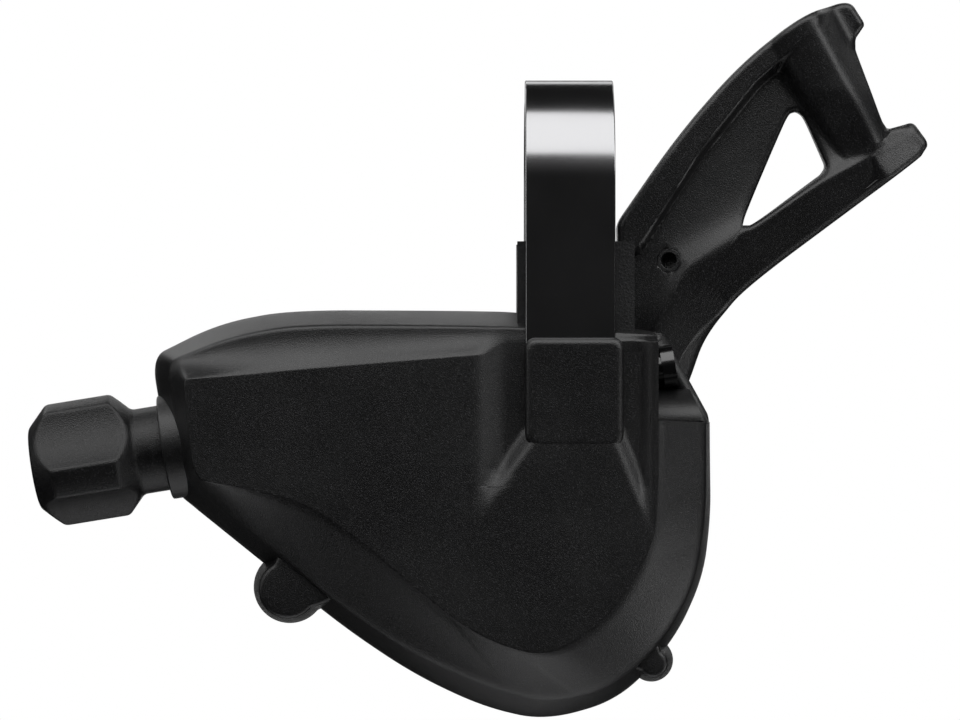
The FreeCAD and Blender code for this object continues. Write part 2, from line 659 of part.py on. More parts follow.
def base_case():
    """The moulded case: side wall, back wall, adjuster boss, screw ears and the axle bore."""
    wall, joint, back = size("case_wall"), size("parting_y"), size("back_y")
    edge = size("case_edge")
    shell = loft([(CASE_LINE, joint), (inset(CASE_LINE, size("case_draft")), back - edge),
                  (inset(CASE_LINE, size("case_draft") + edge), back)])
    open_x, open_z = notch(0.0)
    shell = shell.cut(slab(open_x, (-FAR, size("notch_y")), open_z))
    inside = loft([(inset(CASE_LINE, wall), joint - GAP),
                   (inset(CASE_LINE, wall + size("case_draft")), FLOOR_Y)])
    wall_x, wall_z = notch(wall)
    inside = inside.cut(slab(wall_x, (-FAR, size("notch_y") + wall), wall_z))
    shell = shell.cut(inside).fuse(notch_ramp())
    for x, z, radius in ears():
        shell = shell.fuse(disc(radius, joint, size("ear_back_y"), x, z))
        shell = shell.cut(disc(size("ear_screw_diameter") / 2 + size("running_gap"), -FAR, FAR, x, z))
        shell = shell.cut(disc(size("small_head_diameter") / 2 + GAP, size("ear_back_y"), FAR, x, z))
    shell = shell.fuse(cable_rod(size("boss_radius"), size("boss_start"), size("boss_end")))
    shell = shell.cut(cable_rod(size("screw_radius") + size("running_gap"), size("boss_start") - wall, FAR))
    shell = shell.cut(cable_rod(size("neck_radius") + size("neck_gap"),
                                size("boss_end") - size("cup_depth"), FAR))
    shell = shell.cut(bracket_way())
    shell = shell.cut(disc(size("clamp_bolt_diameter") / 2 + GAP, 0, FAR, 0, -size("clamp_bolt_drop")))
    shell = shell.cut(cable_rod(size("plug_shank_radius") + size("running_gap"), -FAR / 2, 0))
    bore = size("axle_journal_diameter") / 2 + size("running_gap") + size("bush_wall")
    shell = shell.cut(disc(bore, -FAR, FAR, *AXLE))
    pin_x, pin_z = AXLE[0] + size("hold_pawl_x"), AXLE[1] + size("hold_pawl_z")
    pin_seat = FLOOR_Y + size("case_floor") / 2
    shell = shell.cut(disc(size("pawl_pin_diameter") / 2, joint, pin_seat, pin_x, pin_z))
    screw_hole = size("plate_screw_diameter") / 2 + size("running_gap")
    across, drop = size("bracket_screw_offset"), -size("bracket_screw_drop")
    for x, z in [(-across, drop), (across, drop)] + list(posts()):
        shell = shell.cut(disc(screw_hole, FLOOR_Y - GAP, FAR, x, z))
    return shell


# Lever outlines, run anticlockwise from the hub's outboard side
LEVER_EDGE = [
    [(11.0, -44.5), (13.6, -36.0), (17.5, -28.3)],
    [(17.5, -28.3), (19.8, -21.3), (25.5, -14.5)],
    [(25.5, -14.5), (50.6, 4.3)],
    [(50.6, 4.3), (51.7, 6.1), (49.6, 9.1)],
    [(49.6, 9.1), (47.4, 8.3), (45.2, 8.9)],
    [(45.2, 8.9), (41.3, 19.8)],
    [(41.3, 19.8), (41.4, 21.6), (42.4, 23.2)],
    [(42.4, 23.2), (40.9, 25.2), (38.5, 26.2), (34.6, 24.7)],
    [(34.6, 24.7), (27.3, 19.6), (21.9, 14.5), (16.2, 7.7)],
    [(16.2, 7.7), (7.4, -5.2)],
    [(7.4, -5.2), (9.0, -25.0)],
    [(9.0, -25.0), (-3.5, -35.2)],
    [(-3.5, -35.2), (-6.0, -50.0), (11.0, -44.5)],
]
LEVER_WEB = [
    [(17.5, -11.2), (26.0, -6.6), (37.2, 2.2)],
    [(37.2, 2.2), (33.4, 13.6)],
    [(33.4, 13.6), (31.4, 17.0), (28.6, 16.8)],
    [(28.6, 16.8), (25.0, 12.8), (18.7, 3.0)],
    [(18.7, 3.0), (10.9, -8.4)],
    [(10.9, -8.4), (12.6, -12.4), (17.5, -11.2)],
]
LEVER_WINDOW = [
    [(26.9, -5.4), (36.4, 1.4)],
    [(36.4, 1.4), (37.0, 2.2), (36.7, 3.4)],
    [(36.7, 3.4), (33.8, 10.0)],
    [(33.8, 10.0), (32.6, 10.8), (31.3, 10.0)],
    [(31.3, 10.0), (25.4, -4.2)],
    [(25.4, -4.2), (25.6, -5.6), (26.9, -5.4)],
]
PADDLE = [
    [(45.0, 9.2), (41.5, 19.8)],
    [(41.5, 19.8), (41.5, 21.6), (42.3, 23.1)],
    [(42.3, 23.1), (40.9, 25.0), (38.5, 25.9), (35.6, 24.8)],
    [(35.6, 24.8), (35.4, 18.0), (39.4, 5.6)],
    [(39.4, 5.6), (43.0, 4.4), (45.0, 9.2)],
]
# Front recess of the arm's neck, open to its inboard side below the outer rib
LEVER_NECK = [
    [(17.5, -11.2), (13.2, -17.6), (11.2, -24.8)],
    [(11.2, -24.8), (6.0, -24.8)],
    [(6.0, -24.8), (6.0, -9.5)],
    [(6.0, -9.5), (10.9, -8.4)],
    [(10.9, -8.4), (14.0, -6.0), (17.5, -11.2)],
]
LEVER_EYE = (14.5, -10.8)


def lever_key(gap):
    """The two-flat seat of the axle, grown by a gap."""
    flats = size("axle_key_flats") / 2 + gap
    barrel = disc(size("axle_key_diameter") / 2 + gap, -FAR, FAR, *AXLE)
    return barrel.common(slab((AXLE[0] - flats, AXLE[0] + flats), (-FAR, FAR), (-FAR, FAR)))


def hub_front():
    """Front face of the lever hub."""
    return size("back_y") + size("bush_flange_thickness") + size("lever_gap")


def thumb_lever():
    """The moulded lever: hub, ribbed arm with a window, and a wide paddle for the thumb."""
    front, back = size("lever_front_y"), size("lever_front_y") + size("lever_thickness")
    recess = size("lever_recess")
    arm = eased(prism(LEVER_EDGE, front, back), size("lever_round"))
    arm = arm.cut(prism(LEVER_WEB, front - GAP, front + recess))
    arm = arm.cut(prism(LEVER_NECK, front - GAP, front + recess))
    arm = arm.cut(prism(LEVER_WEB, back - recess, back + GAP))
    middle = (front + back) / 2
    reach = size("paddle_width") / 2
    arm = arm.fuse(eased(prism(PADDLE, middle - reach, middle + reach), size("paddle_round")))
    arm = arm.cut(prism(LEVER_WINDOW, front - GAP, back + GAP))
    arm = arm.cut(disc(size("lever_eye_diameter") / 2, -FAR, FAR, *LEVER_EYE))
    hub_back = hub_front() + size("lever_hub_thickness")
    arm = arm.cut(disc(size("lever_hub_radius") - size("hub_step"), hub_back, FAR, *AXLE))
    arm = arm.fuse(disc(size("lever_hub_radius"), hub_front(), hub_back, *AXLE))
    return arm.cut(lever_key(size("running_gap")))


moulded(top_cover(), "top_cover")
moulded(base_case(), "base_case")
moulded(thumb_lever(), "thumb_lever")

# Clamp: a hairpin band over the bar, drawn onto the bracket by one bolt
half = "band_width / 2"
outside = "bar_diameter / 2 + band_thickness"
bar = "bar_diameter / 2"

ring = rod(outside, "0", "band_width", "-(%s)" % half, "0", ALONG_X)
place(ring, "-(%s)" % half, "0", "0")
front_leg = block(("-(%s)" % half, half), ("-(%s)" % outside, "-(%s)" % bar), ("-band_front_leg", "0"))
rear_leg = block(("-(%s)" % half, half), (bar, outside), ("-band_rear_leg", "0"))
below = block(("-(%s) - overcut" % half, "%s + overcut" % half), ("-(%s)" % bar, bar),
              ("-(%s) - overcut" % outside, "0"))
bar_way = rod(bar, "0", "band_width + 2 * overcut", "0", "0", ALONG_X)
place(bar_way, "-(%s) - overcut" % half, "0", "0")
bolt_way = rod("clamp_bolt_diameter / 2 + bolt_gap", "0", "bar_diameter", "0", "-clamp_bolt_drop")
screw_way = rod("band_screw_diameter / 2 + running_gap", "-bar_diameter", "bar_diameter",
                "0", "-band_screw_drop")
node(cut(fused([ring, front_leg, rear_leg]), [below, bar_way, bolt_way, screw_way]), "clamp_band")

bracket_back = "bar_diameter / 2 - clamp_gap"
saddle = block(("-bracket_left", "bracket_right"), ("-(%s) + side_gap" % bar, bracket_back),
               ("-bracket_drop", "-saddle_drop"))
tongue_back = "back_y - case_floor"
tongue = block(("-tongue_half_width", "tongue_half_width"),
               ("%s - tongue_thickness" % tongue_back, tongue_back),
               ("-tongue_drop", "-bracket_drop + overcut"))
bar_seat = rod(bar, "0", "band_width + 2 * side_gap", "0", "0", ALONG_X)
place(bar_seat, "-(%s) - side_gap" % half, "0", "0")
cheek_reliefs = []
for start in ("-(%s) - bar_diameter" % half, half):
    relief = rod("%s + side_gap" % bar, "0", "bar_diameter", "0", "0", ALONG_X)
    place(relief, start, "0", "0")
    cheek_reliefs.append(relief)
bolt_seat = rod("clamp_bolt_diameter / 2 + bolt_gap", "-clamp_nut_height", "bar_diameter",
                "0", "-clamp_bolt_drop")
nut_half = "clamp_nut_side / 2"
nut_low = "-max(bracket_drop; clamp_bolt_drop + %s) - overcut" % nut_half
nut_pocket = block(("-(%s) - nut_gap" % nut_half, "%s + nut_gap" % nut_half),
                   ("-nut_gap", "clamp_nut_height + nut_gap"),
                   (nut_low, "-clamp_bolt_drop + %s + nut_gap" % nut_half))
seats = [bar_seat, bolt_seat, nut_pocket] + cheek_reliefs
for sign in ("-", ""):
    seats.append(rod("plate_screw_diameter / 2 + running_gap", "0", "back_y",
                     sign + "bracket_screw_offset", "-bracket_screw_drop"))
node(cut(fused([saddle, tongue]), seats), "clamp_bracket")

nut = block(("-(%s)" % nut_half, nut_half), ("0", "clamp_nut_height"),
            ("-clamp_bolt_drop - %s" % nut_half, "-clamp_bolt_drop + %s" % nut_half))
nut_bore = rod("clamp_bolt_diameter / 2 + running_gap", "-overcut", "clamp_nut_height + 2 * overcut",
               "0", "-clamp_bolt_drop")
node(cut(nut, [nut_bore]), "clamp_nut")

washer_inner, washer_outer = "clamp_bolt_diameter / 2 + washer_gap", "clamp_head_diameter / 2 + washer_edge"
washer = turned([(washer_inner, "0"), (washer_outer, "0"), (washer_outer, "washer_thickness"),
                 (washer_inner, "washer_thickness")])
place(washer, "0", outside, "-clamp_bolt_drop")
node(washer, "clamp_washer")

bolt = screw("clamp_head_diameter", "clamp_head_height", "clamp_bolt_diameter",
             "%s + washer_thickness + clamp_bolt_end" % outside, "clamp_socket")
place(bolt, "0", "%s + washer_thickness" % outside, "-clamp_bolt_drop")
node(bolt, "clamp_bolt")

# Screws that hold the bracket, the band's front leg, the plate and the cover
bracket_screws = []
for sign in ("-", ""):
    fastener = screw("small_head_diameter", "small_head_height", "plate_screw_diameter",
                     "case_floor + bracket_screw_grip", "small_socket")
    place(fastener, sign + "bracket_screw_offset", "back_y", "-bracket_screw_drop")
    bracket_screws.append(fastener)
node(grouped(bracket_screws), "bracket_screws")

cover_screws = []
for ear in ("near_ear", "far_ear"):
    fastener = screw("small_head_diameter", "small_head_height", "ear_screw_diameter",
                     "ear_back_y - ear_front_y - cover_wall", "small_socket")
    place(fastener, ear + "_x", "ear_back_y", ear + "_z")
    cover_screws.append(fastener)
node(grouped(cover_screws), "cover_screws")

plate_front = "-(%s)" % bar
band_screw_length = "band_thickness + plate_thickness + band_screw_end"
band_screw = turned([("0", "0"), ("band_screw_diameter / 2", "0"),
                     ("band_screw_diameter / 2", band_screw_length), ("0", band_screw_length)])
place(band_screw, "0", "-(%s)" % outside, "-band_screw_drop")
node(band_screw, "band_screw")

# Support plate on two posts, which carries the front end of the axle

def support_plate():
    """A flat pressing from the band leg past the axle to its posts."""
    front, back = -BAR_RADIUS, -BAR_RADIUS + size("plate_thickness")
    edge = size("plate_edge")
    half_width = size("band_width") / 2
    top = -size("band_front_leg") + size("plate_overlap")
    (near_x, near_z), (far_x, far_z) = posts()
    outline = [(half_width, top), (-half_width, top), (near_x - edge, near_z), (near_x, near_z - edge),
               (far_x, far_z - edge), (far_x + edge, far_z)]
    plate = prism(straight(outline), front, back)
    for x, z in posts():
        plate = plate.fuse(disc(edge, front, back, x, z))
        plate = plate.cut(disc(size("plate_screw_diameter") / 2 + size("running_gap"), -FAR, FAR, x, z))
    plate = plate.cut(disc(size("axle_front_diameter") / 2 + size("running_gap"), -FAR, FAR, *AXLE))
    return plate.cut(disc(size("band_screw_diameter") / 2 + size("running_gap"), -FAR, FAR,
                          0, -size("band_screw_drop")))


moulded(support_plate(), "support_plate")

plate_posts = []
plate_screws = []
plate_back = "%s + plate_thickness" % plate_front
for name in ("near_post", "far_post"):
    x, z = "axle_x + %s_x" % name, "axle_z + %s_z" % name
    post = rod("post_diameter / 2", plate_back, "back_y - case_floor - (%s)" % plate_back, x, z)
    spigot = rod("plate_screw_diameter / 2", plate_front, "plate_thickness + side_gap", x, z)
    hole = rod("plate_screw_diameter / 2 + running_gap", "back_y - plate_screw_length - case_floor / 2",
               "plate_screw_length", x, z)
    plate_posts.append(cut(fused([post, spigot]), [hole]))
    fastener = screw("small_head_diameter", "small_head_height", "plate_screw_diameter",
                     "plate_screw_length", "small_socket")
    place(fastener, x, "back_y", z)
    plate_screws.append(fastener)
node(grouped(plate_posts), "plate_posts")
node(grouped(plate_screws), "plate_screws")

# Main axle with its bushes, clip, washer and nut
drum_front = "%s + side_gap" % plate_back
drum_back = "drive_plate_y - side_gap"
seat_front = "back_y + bush_flange_thickness + lever_gap"
seat_back = "%s + lever_hub_thickness" % seat_front
clip_front = "%s - side_gap - clip_thickness" % plate_front
nut_seat = "%s + washer_thickness" % seat_back
axle_front = "%s - axle_tail" % clip_front
axle_back = "%s + nut_height + axle_tail" % nut_seat
axle = turned([
    ("0", axle_front), ("axle_front_diameter / 2", axle_front),
    ("axle_front_diameter / 2", clip_front), ("axle_front_diameter / 2 - clip_depth", clip_front),
    ("axle_front_diameter / 2 - clip_depth", "%s + clip_thickness" % clip_front),
    ("axle_front_diameter / 2", "%s + clip_thickness" % clip_front), ("axle_front_diameter / 2", drum_front),
    ("axle_drum_diameter / 2", drum_front), ("axle_drum_diameter / 2", drum_back),
    ("axle_key_diameter / 2", drum_back), ("axle_key_diameter / 2", "drive_plate_y + drive_plate_thickness"),
    ("axle_journal_diameter / 2", "drive_plate_y + drive_plate_thickness"),
    ("axle_journal_diameter / 2", seat_front), ("axle_key_diameter / 2", seat_front),
    ("axle_key_diameter / 2", seat_back), ("axle_thread_diameter / 2", seat_back),
    ("axle_thread_diameter / 2", axle_back), ("0", axle_back)])
place(axle, "axle_x", "0", "axle_z")
flats = []
for low, high in ((drum_back, "drive_plate_y + drive_plate_thickness"), (seat_front, seat_back)):
    for side in (("axle_x - axle_key_diameter", "axle_x - axle_key_flats / 2"),
                 ("axle_x + axle_key_flats / 2", "axle_x + axle_key_diameter")):
        flats.append(block(side, (low, high), ("axle_z - axle_key_diameter", "axle_z + axle_key_diameter")))
node(cut(axle, flats), "main_axle")

# Mouth of the clip as a share of its bore, so that it snaps on
CLIP_MOUTH = 0.9
clip_bore = "axle_front_diameter / 2 - clip_depth + running_gap"
clip = rod("clip_diameter / 2", clip_front, "clip_thickness")
clip_hole = rod(clip_bore, "%s - overcut" % clip_front, "clip_thickness + 2 * overcut")
mouth_half = "(%s) * %s" % (clip_bore, CLIP_MOUTH)
clip_mouth = block(("axle_x - %s" % mouth_half, "axle_x + %s" % mouth_half),
                   ("%s - overcut" % clip_front, "%s + clip_thickness + overcut" % clip_front),
                   ("axle_z - clip_diameter", "axle_z"))
node(cut(clip, [clip_hole, clip_mouth]), "axle_clip")

bush_inner = "axle_journal_diameter / 2 + running_gap"
bush_outer = "axle_journal_diameter / 2 + running_gap + bush_wall - running_gap / 2"
case_bush = turned([(bush_inner, "back_y - case_floor"), (bush_outer, "back_y - case_floor"),
                    (bush_outer, "back_y"), ("%s + bush_flange" % bush_outer, "back_y"),
                    ("%s + bush_flange" % bush_outer, "back_y + bush_flange_thickness"),
                    (bush_inner, "back_y + bush_flange_thickness")])
place(case_bush, "axle_x", "0", "axle_z")
node(case_bush, "case_bush")

washer_bore = "axle_thread_diameter / 2 + washer_gap"
lever_washer = turned([(washer_bore, seat_back), ("lever_washer_diameter / 2", seat_back),
                       ("lever_washer_diameter / 2", nut_seat), (washer_bore, nut_seat)])
place(lever_washer, "axle_x", "0", "axle_z")
node(lever_washer, "lever_washer")

hex_nut = doc.addObject("Part::Prism", "hex_nut")
hex_nut.Polygon = 6
hex_nut.Placement = Placement(Vector(), ALONG_Y)
bind(hex_nut, {"Circumradius": "nut_flats / sqrt(3)", "Height": "nut_height"})
place(hex_nut, "axle_x", nut_seat, "axle_z")
nut_bore = "axle_thread_diameter / 2 + running_gap"
nut_tip = "nut_flats / sqrt(3)"
nut_turning = turned([(nut_bore, "0"), ("%s - nut_chamfer" % nut_tip, "0"), (nut_tip, "nut_chamfer"),
                      (nut_tip, "nut_height - nut_chamfer"), ("%s - nut_chamfer" % nut_tip, "nut_height"),
                      (nut_bore, "nut_height")])
place(nut_turning, "axle_x", nut_seat, "axle_z")
axle_nut = doc.addObject("Part::Common", "axle_nut")
axle_nut.Base = hex_nut
axle_nut.Tool = nut_turning
node(axle_nut, "axle_nut")

# Cable drum: a grooved rim on a hub, with a ratchet disc and a drive lug behind it

def sector(radius, start, length, first, angle):
    """A slice of a cylinder about the axle, from a polar angle anticlockwise."""
    thing = rod(radius, start, length)
    bind(thing, {"Angle": angle})
    last = size(first) + size(angle)
    thing.Placement = Placement(thing.Placement.Base, Rotation(Vector(0, 1, 0), -last).multiply(ALONG_Y))
    return thing


# Polar angle of straight down
BELOW = 270
bush_radius = "axle_drum_diameter / 2 + running_gap + drum_bush_wall"
ratchet_end = "ratchet_y + ratchet_thickness"
hub = rod("drum_hub_diameter / 2", drum_front, "%s - (%s)" % (ratchet_end, drum_front))
rim = sector("drum_groove_radius + drum_rim", "cable_y - drum_rim_thickness / 2", "drum_rim_thickness",
             "drum_rim_start", "drum_rim_angle")
ratchet = rod("ratchet_radius", "ratchet_y - side_gap", "ratchet_thickness + side_gap")
lug = sector("ratchet_radius + lug_height", "ratchet_y", "ratchet_thickness", "lug_start", "lug_angle")
groove = doc.addObject("Part::Torus", "groove")
groove.Placement = Placement(Vector(), ALONG_Y)
bind(groove, {"Radius1": "drum_groove_radius + drum_rim / 2", "Radius2": "cable_diameter / 2"})
place(groove, "axle_x", "cable_y", "axle_z")
drum_bore = rod(bush_radius, "%s - overcut" % drum_front,
                "%s - (%s) + 2 * overcut" % (ratchet_end, drum_front))
latch_angle = BELOW + size("stroke_angle") - size("notch_angle") / 2
latch = rod("ratchet_radius + overcut", "ratchet_y - overcut", "ratchet_thickness + 2 * overcut")
bind(latch, {"Angle": "notch_angle"})
latch.Placement = Placement(latch.Placement.Base,
                            Rotation(Vector(0, 1, 0), -latch_angle - size("notch_angle")).multiply(ALONG_Y))
latch_core = rod("ratchet_radius - notch_depth", "ratchet_y - 2 * overcut", "ratchet_thickness + 4 * overcut")
drum = cut(fused([hub, rim, ratchet, lug]), [groove, drum_bore, cut(latch, [latch_core])])
node(drum, "cable_drum")

drum_bush = turned([("axle_drum_diameter / 2 + running_gap", drum_front), (bush_radius, drum_front),
                    (bush_radius, ratchet_end), ("axle_drum_diameter / 2 + running_gap", ratchet_end)])
place(drum_bush, "axle_x", "0", "axle_z")
node(drum_bush, "drum_bush")

# Drive plate keyed to the axle, with the drive pawl on its arm
PAWL_FRONT = size("ratchet_y")
PAWL_BACK = PAWL_FRONT + size("ratchet_thickness")


def polar(radius, degrees):
    """A point about the axle."""
    angle = math.radians(degrees)
    return AXLE[0] + radius * math.cos(angle), AXLE[1] + radius * math.sin(angle)


def bar_between(start, end, wide, narrow, front, back):
    """A tapered bar between two points."""
    along = unit(start, end)
    side = (-along[1], along[0])
    corners = [(start[0] + side[0] * wide, start[1] + side[1] * wide),
               (start[0] - side[0] * wide, start[1] - side[1] * wide),
               (end[0] - side[0] * narrow, end[1] - side[1] * narrow),
               (end[0] + side[0] * narrow, end[1] + side[1] * narrow)]
    return prism(straight(corners), front, back)


DRIVE_PIN = polar(size("pawl_arm_radius"), size("pawl_arm_angle"))
HOLD_PIN = (AXLE[0] + size("hold_pawl_x"), AXLE[1] + size("hold_pawl_z"))
LUG_END = size("lug_start") + size("lug_angle")


def drive_plate():
    """A pressed plate with an arm for the drive pawl's pin."""
    front = size("drive_plate_y")
    back = front + size("drive_plate_thickness")
    boss = size("pawl_boss_radius")
    plate = disc(size("drive_plate_radius"), front, back, *AXLE)
    plate = plate.fuse(bar_between(AXLE, DRIVE_PIN, boss + size("drive_arm_flare"), boss, front, back))
    plate = plate.fuse(disc(boss, front, back, *DRIVE_PIN))
    plate = plate.cut(disc(size("pawl_pin_diameter") / 2, -FAR, FAR, *DRIVE_PIN))
    return plate.cut(lever_key(size("running_gap")))


def pawl(pin, tip):
    """A flat pawl: a boss round its pin and a tapered nose."""
    boss = size("pawl_boss_radius")
    body = disc(boss, PAWL_FRONT, PAWL_BACK, *pin)
    body = body.fuse(bar_between(pin, tip, size("pawl_root_width") / 2, size("pawl_nose_width") / 2,
                                 PAWL_FRONT, PAWL_BACK))
    return body.cut(disc(size("pawl_pin_diameter") / 2 + size("running_gap"), -FAR, FAR, *pin))


def nose(degrees):
    """Where a pawl's nose rides, just off the ratchet disc."""
    return polar(size("ratchet_radius") + GAP + size("pawl_nose_width") / 2, degrees)


moulded(drive_plate(), "drive_plate")
moulded(pawl(DRIVE_PIN, nose(LUG_END + size("pawl_lead"))), "drive_pawl")
moulded(pawl(HOLD_PIN, nose(BELOW)), "hold_pawl")


COIL_STEPS = 16
COIL_SIDES = 8
PAWL_COIL_TURNS = 4
LEVER_COIL_TURNS = 2


def coil(radius, wire_size, start, turns, middle):
    """A closely wound coil about Y: a ruled skin through sections of the wire."""
    pitch = wire_size * size("coil_spacing")
    sections = []
    for step in range(turns * COIL_STEPS + 1):
        angle = 2 * math.pi * step / COIL_STEPS
        out = Vector(math.cos(angle), 0, math.sin(angle))
        centre = Vector(middle[0], start + pitch * step / COIL_STEPS, middle[1]) + out * radius
        corners = []
        for side in range(COIL_SIDES):
            turn = 2 * math.pi * side / COIL_SIDES
            corners.append(centre + out * (wire_size / 2 * math.cos(turn))
                           + Vector(0, wire_size / 2 * math.sin(turn), 0))
        sections.append(Part.makePolygon(corners + corners[:1]))
    return Part.makeLoft(sections, True, True)


drive_pin_x = "axle_x + pawl_arm_radius * cos(pawl_arm_angle)"
drive_pin_z = "axle_z + pawl_arm_radius * sin(pawl_arm_angle)"
hold_pin_x = "axle_x + hold_pawl_x"
hold_pin_z = "axle_z + hold_pawl_z"
coil_depth = "pawl_spring_wire * coil_spacing * %d" % PAWL_COIL_TURNS
pin_front = "ratchet_y - (%s) - pin_end" % coil_depth
drive_pin = rod("pawl_pin_diameter / 2", pin_front,
                "drive_plate_y + drive_plate_thickness - (%s)" % pin_front, drive_pin_x, drive_pin_z)
node(drive_pin, "drive_pawl_pin")
hold_pin = rod("pawl_pin_diameter / 2", pin_front, "back_y - case_floor / 2 - (%s)" % pin_front,
               hold_pin_x, hold_pin_z)
node(hold_pin, "hold_pawl_pin")

PAWL_WIRE = size("pawl_spring_wire")
PAWL_COIL = size("pawl_pin_diameter") / 2 + size("running_gap") + PAWL_WIRE / 2
PAWL_COIL_START = PAWL_FRONT - PAWL_WIRE * (size("coil_spacing") * PAWL_COIL_TURNS + 1)
for pin, label in ((DRIVE_PIN, "drive_pawl_spring"), (HOLD_PIN, "hold_pawl_spring")):
    moulded(coil(PAWL_COIL, PAWL_WIRE, PAWL_COIL_START, PAWL_COIL_TURNS, pin), label)
LEVER_WIRE = size("spring_wire")
LEVER_COIL_LENGTH = LEVER_WIRE * (size("coil_spacing") * LEVER_COIL_TURNS + 0.5)
LEVER_COIL_START = FLOOR_Y - LEVER_COIL_LENGTH - size("running_gap")
moulded(coil(size("spring_radius"), LEVER_WIRE, LEVER_COIL_START, LEVER_COIL_TURNS, AXLE), "lever_spring")

# Cable adjuster: a fluted knob on a hollow screw, with a detent ring in the boss

def on_line(body):
    """Set a turned body on the cable line, its +X towards the adjuster."""
    body.Placement = Placement(Vector(), Rotation(Vector(0, 1, 0), 1))
    bind(body, {"Placement.Rotation.Angle": "180 - adjuster_tilt"})
    place(body, "axle_x - drum_groove_radius * sin(adjuster_tilt)", "cable_y",
          "axle_z + drum_groove_radius * cos(adjuster_tilt)")
    return body


cup_floor = "boss_end - cup_depth"
ring_start = "%s + ring_gap" % cup_floor
neck_start = "%s + ring_thickness + side_gap" % ring_start
shoulder = "%s + neck_length" % neck_start
land_start = "%s + knob_chamfer" % shoulder
land_end = "%s + knob_length" % land_start
knob_end = "%s + knob_nose" % land_end
socket_floor = "%s - housing_depth" % knob_end
screw_end = "%s - socket_wall" % socket_floor
screw_hole = "screw_radius + running_gap"
knob = turned([
    (neck_start, screw_hole), (neck_start, "neck_radius"), (shoulder, "neck_radius"),
    (land_start, "knob_radius"), (land_end, "knob_radius"), (knob_end, "knob_nose_radius"),
    (knob_end, "housing_radius"), (socket_floor, "housing_radius"), (socket_floor, "cable_hole_diameter / 2"),
    (screw_end, "cable_hole_diameter / 2"), (screw_end, screw_hole)], "H_Axis")
flute = sketch_on(knob, "YZ_Plane")
bind(flute, {"AttachmentOffset.Base.z": shoulder})
circle_in(flute, "flute_radius", "-(flute_floor + flute_radius) * cos(flute_phase)",
          "-(flute_floor + flute_radius) * sin(flute_phase)")
first_flute = pocket(knob, flute, "knob_chamfer + knob_length + knob_nose", backwards=True)
around = knob.newObject("PartDesign::PolarPattern", "around")
around.Originals = [first_flute]
around.Axis = (flute, ["N_Axis"])
around.Angle = 360
around.Occurrences = 4
knob.Tip = around
node(on_line(knob), "adjuster_knob")

adjuster_screw = turned([("%s - screw_length" % screw_end, "cable_hole_diameter / 2"),
                         ("%s - screw_length" % screw_end, "screw_radius"), (screw_end, "screw_radius"),
                         (screw_end, "cable_hole_diameter / 2")], "H_Axis")
node(on_line(adjuster_screw), "adjuster_screw")

detent_ring = turned([(ring_start, "screw_radius + side_gap"), (ring_start, "neck_radius"),
                      ("%s + ring_thickness" % ring_start, "neck_radius"),
                      ("%s + ring_thickness" % ring_start, "screw_radius + side_gap")], "H_Axis")
node(on_line(detent_ring), "detent_ring")

# Plug of the cable port, in the cover's notch wall on the same line
port_face = "-(notch_x + running_gap - axle_x + drum_groove_radius * sin(adjuster_tilt)) / cos(adjuster_tilt)"
plug_face = "%s - plug_shank_radius * tan(adjuster_tilt) - plug_gap" % port_face
plug_front = "%s - plug_head" % plug_face
plug_tail_end = "%s + cover_wall + plug_tail" % plug_face
plug = turned([(plug_tail_end, "0"), (plug_tail_end, "plug_shank_radius"),
               (plug_face, "plug_shank_radius"), (plug_face, "plug_head_radius"),
               (plug_front, "plug_head_radius"), (plug_front, "0")], "H_Axis")
node(on_line(plug), "port_plug")

doc.recompute()
for thing in doc.Objects:
    if "Invalid" in thing.State or "Error" in thing.State:
        raise RuntimeError("%s failed: %s" % (thing.Label, thing.State))
for thing in nodes:
    if thing.Shape.isNull() or not thing.Shape.isValid():
        raise RuntimeError("%s has no valid shape" % thing.Label)

os.makedirs("parts", exist_ok=True)
for thing in nodes:
    thing.Shape.exportStep("parts/%s.step" % thing.Label)
    print(thing.Label, len(thing.Shape.Solids), "solids", round(thing.Shape.Volume, 1), "mm3")
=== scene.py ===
"""A bicycle gear shifter: its moulded, turned and polished surfaces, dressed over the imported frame.

Frame: origin on the handlebar axis in the middle of the clamp band, +X outboard along the bar, +Y from the
cover to the back of the body, +Z up. Sizes in the classes are millimetres; meshes are written in metres.
"""
import logging
import math
from dataclasses import dataclass
from enum import Enum

import bmesh
import bpy
import numpy as np
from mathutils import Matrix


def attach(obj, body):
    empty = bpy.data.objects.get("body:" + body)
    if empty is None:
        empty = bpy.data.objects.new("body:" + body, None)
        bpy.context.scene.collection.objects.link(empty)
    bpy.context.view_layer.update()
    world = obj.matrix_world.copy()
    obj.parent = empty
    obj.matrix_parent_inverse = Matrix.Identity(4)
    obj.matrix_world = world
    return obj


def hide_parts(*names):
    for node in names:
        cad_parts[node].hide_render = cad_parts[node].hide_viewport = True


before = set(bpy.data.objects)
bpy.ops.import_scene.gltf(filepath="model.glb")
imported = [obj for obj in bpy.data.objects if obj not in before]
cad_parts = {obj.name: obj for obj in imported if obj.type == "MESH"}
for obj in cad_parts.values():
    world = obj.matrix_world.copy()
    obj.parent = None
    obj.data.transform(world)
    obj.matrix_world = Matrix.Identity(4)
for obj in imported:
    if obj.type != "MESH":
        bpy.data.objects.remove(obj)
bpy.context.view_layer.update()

MM = 0.001
TURN = 2.0 * math.pi
RADIANCE_TO_WATTS = math.pi
NEARLY_HALF = 0.48
TINY = 1e-6
ALONG_X = np.array([1.0, 0.0, 0.0])
ALONG_Y = np.array([0.0, 1.0, 0.0])
log = logging.getLogger("gear_shifter")

Array = np.ndarray
Colour = tuple[float, float, float]
Pair = tuple[float, float]
Path = tuple[Pair, ...]
Run = tuple[float, float, int]
Corners = tuple[tuple[float, float, float], ...]


# Shapes of numbers

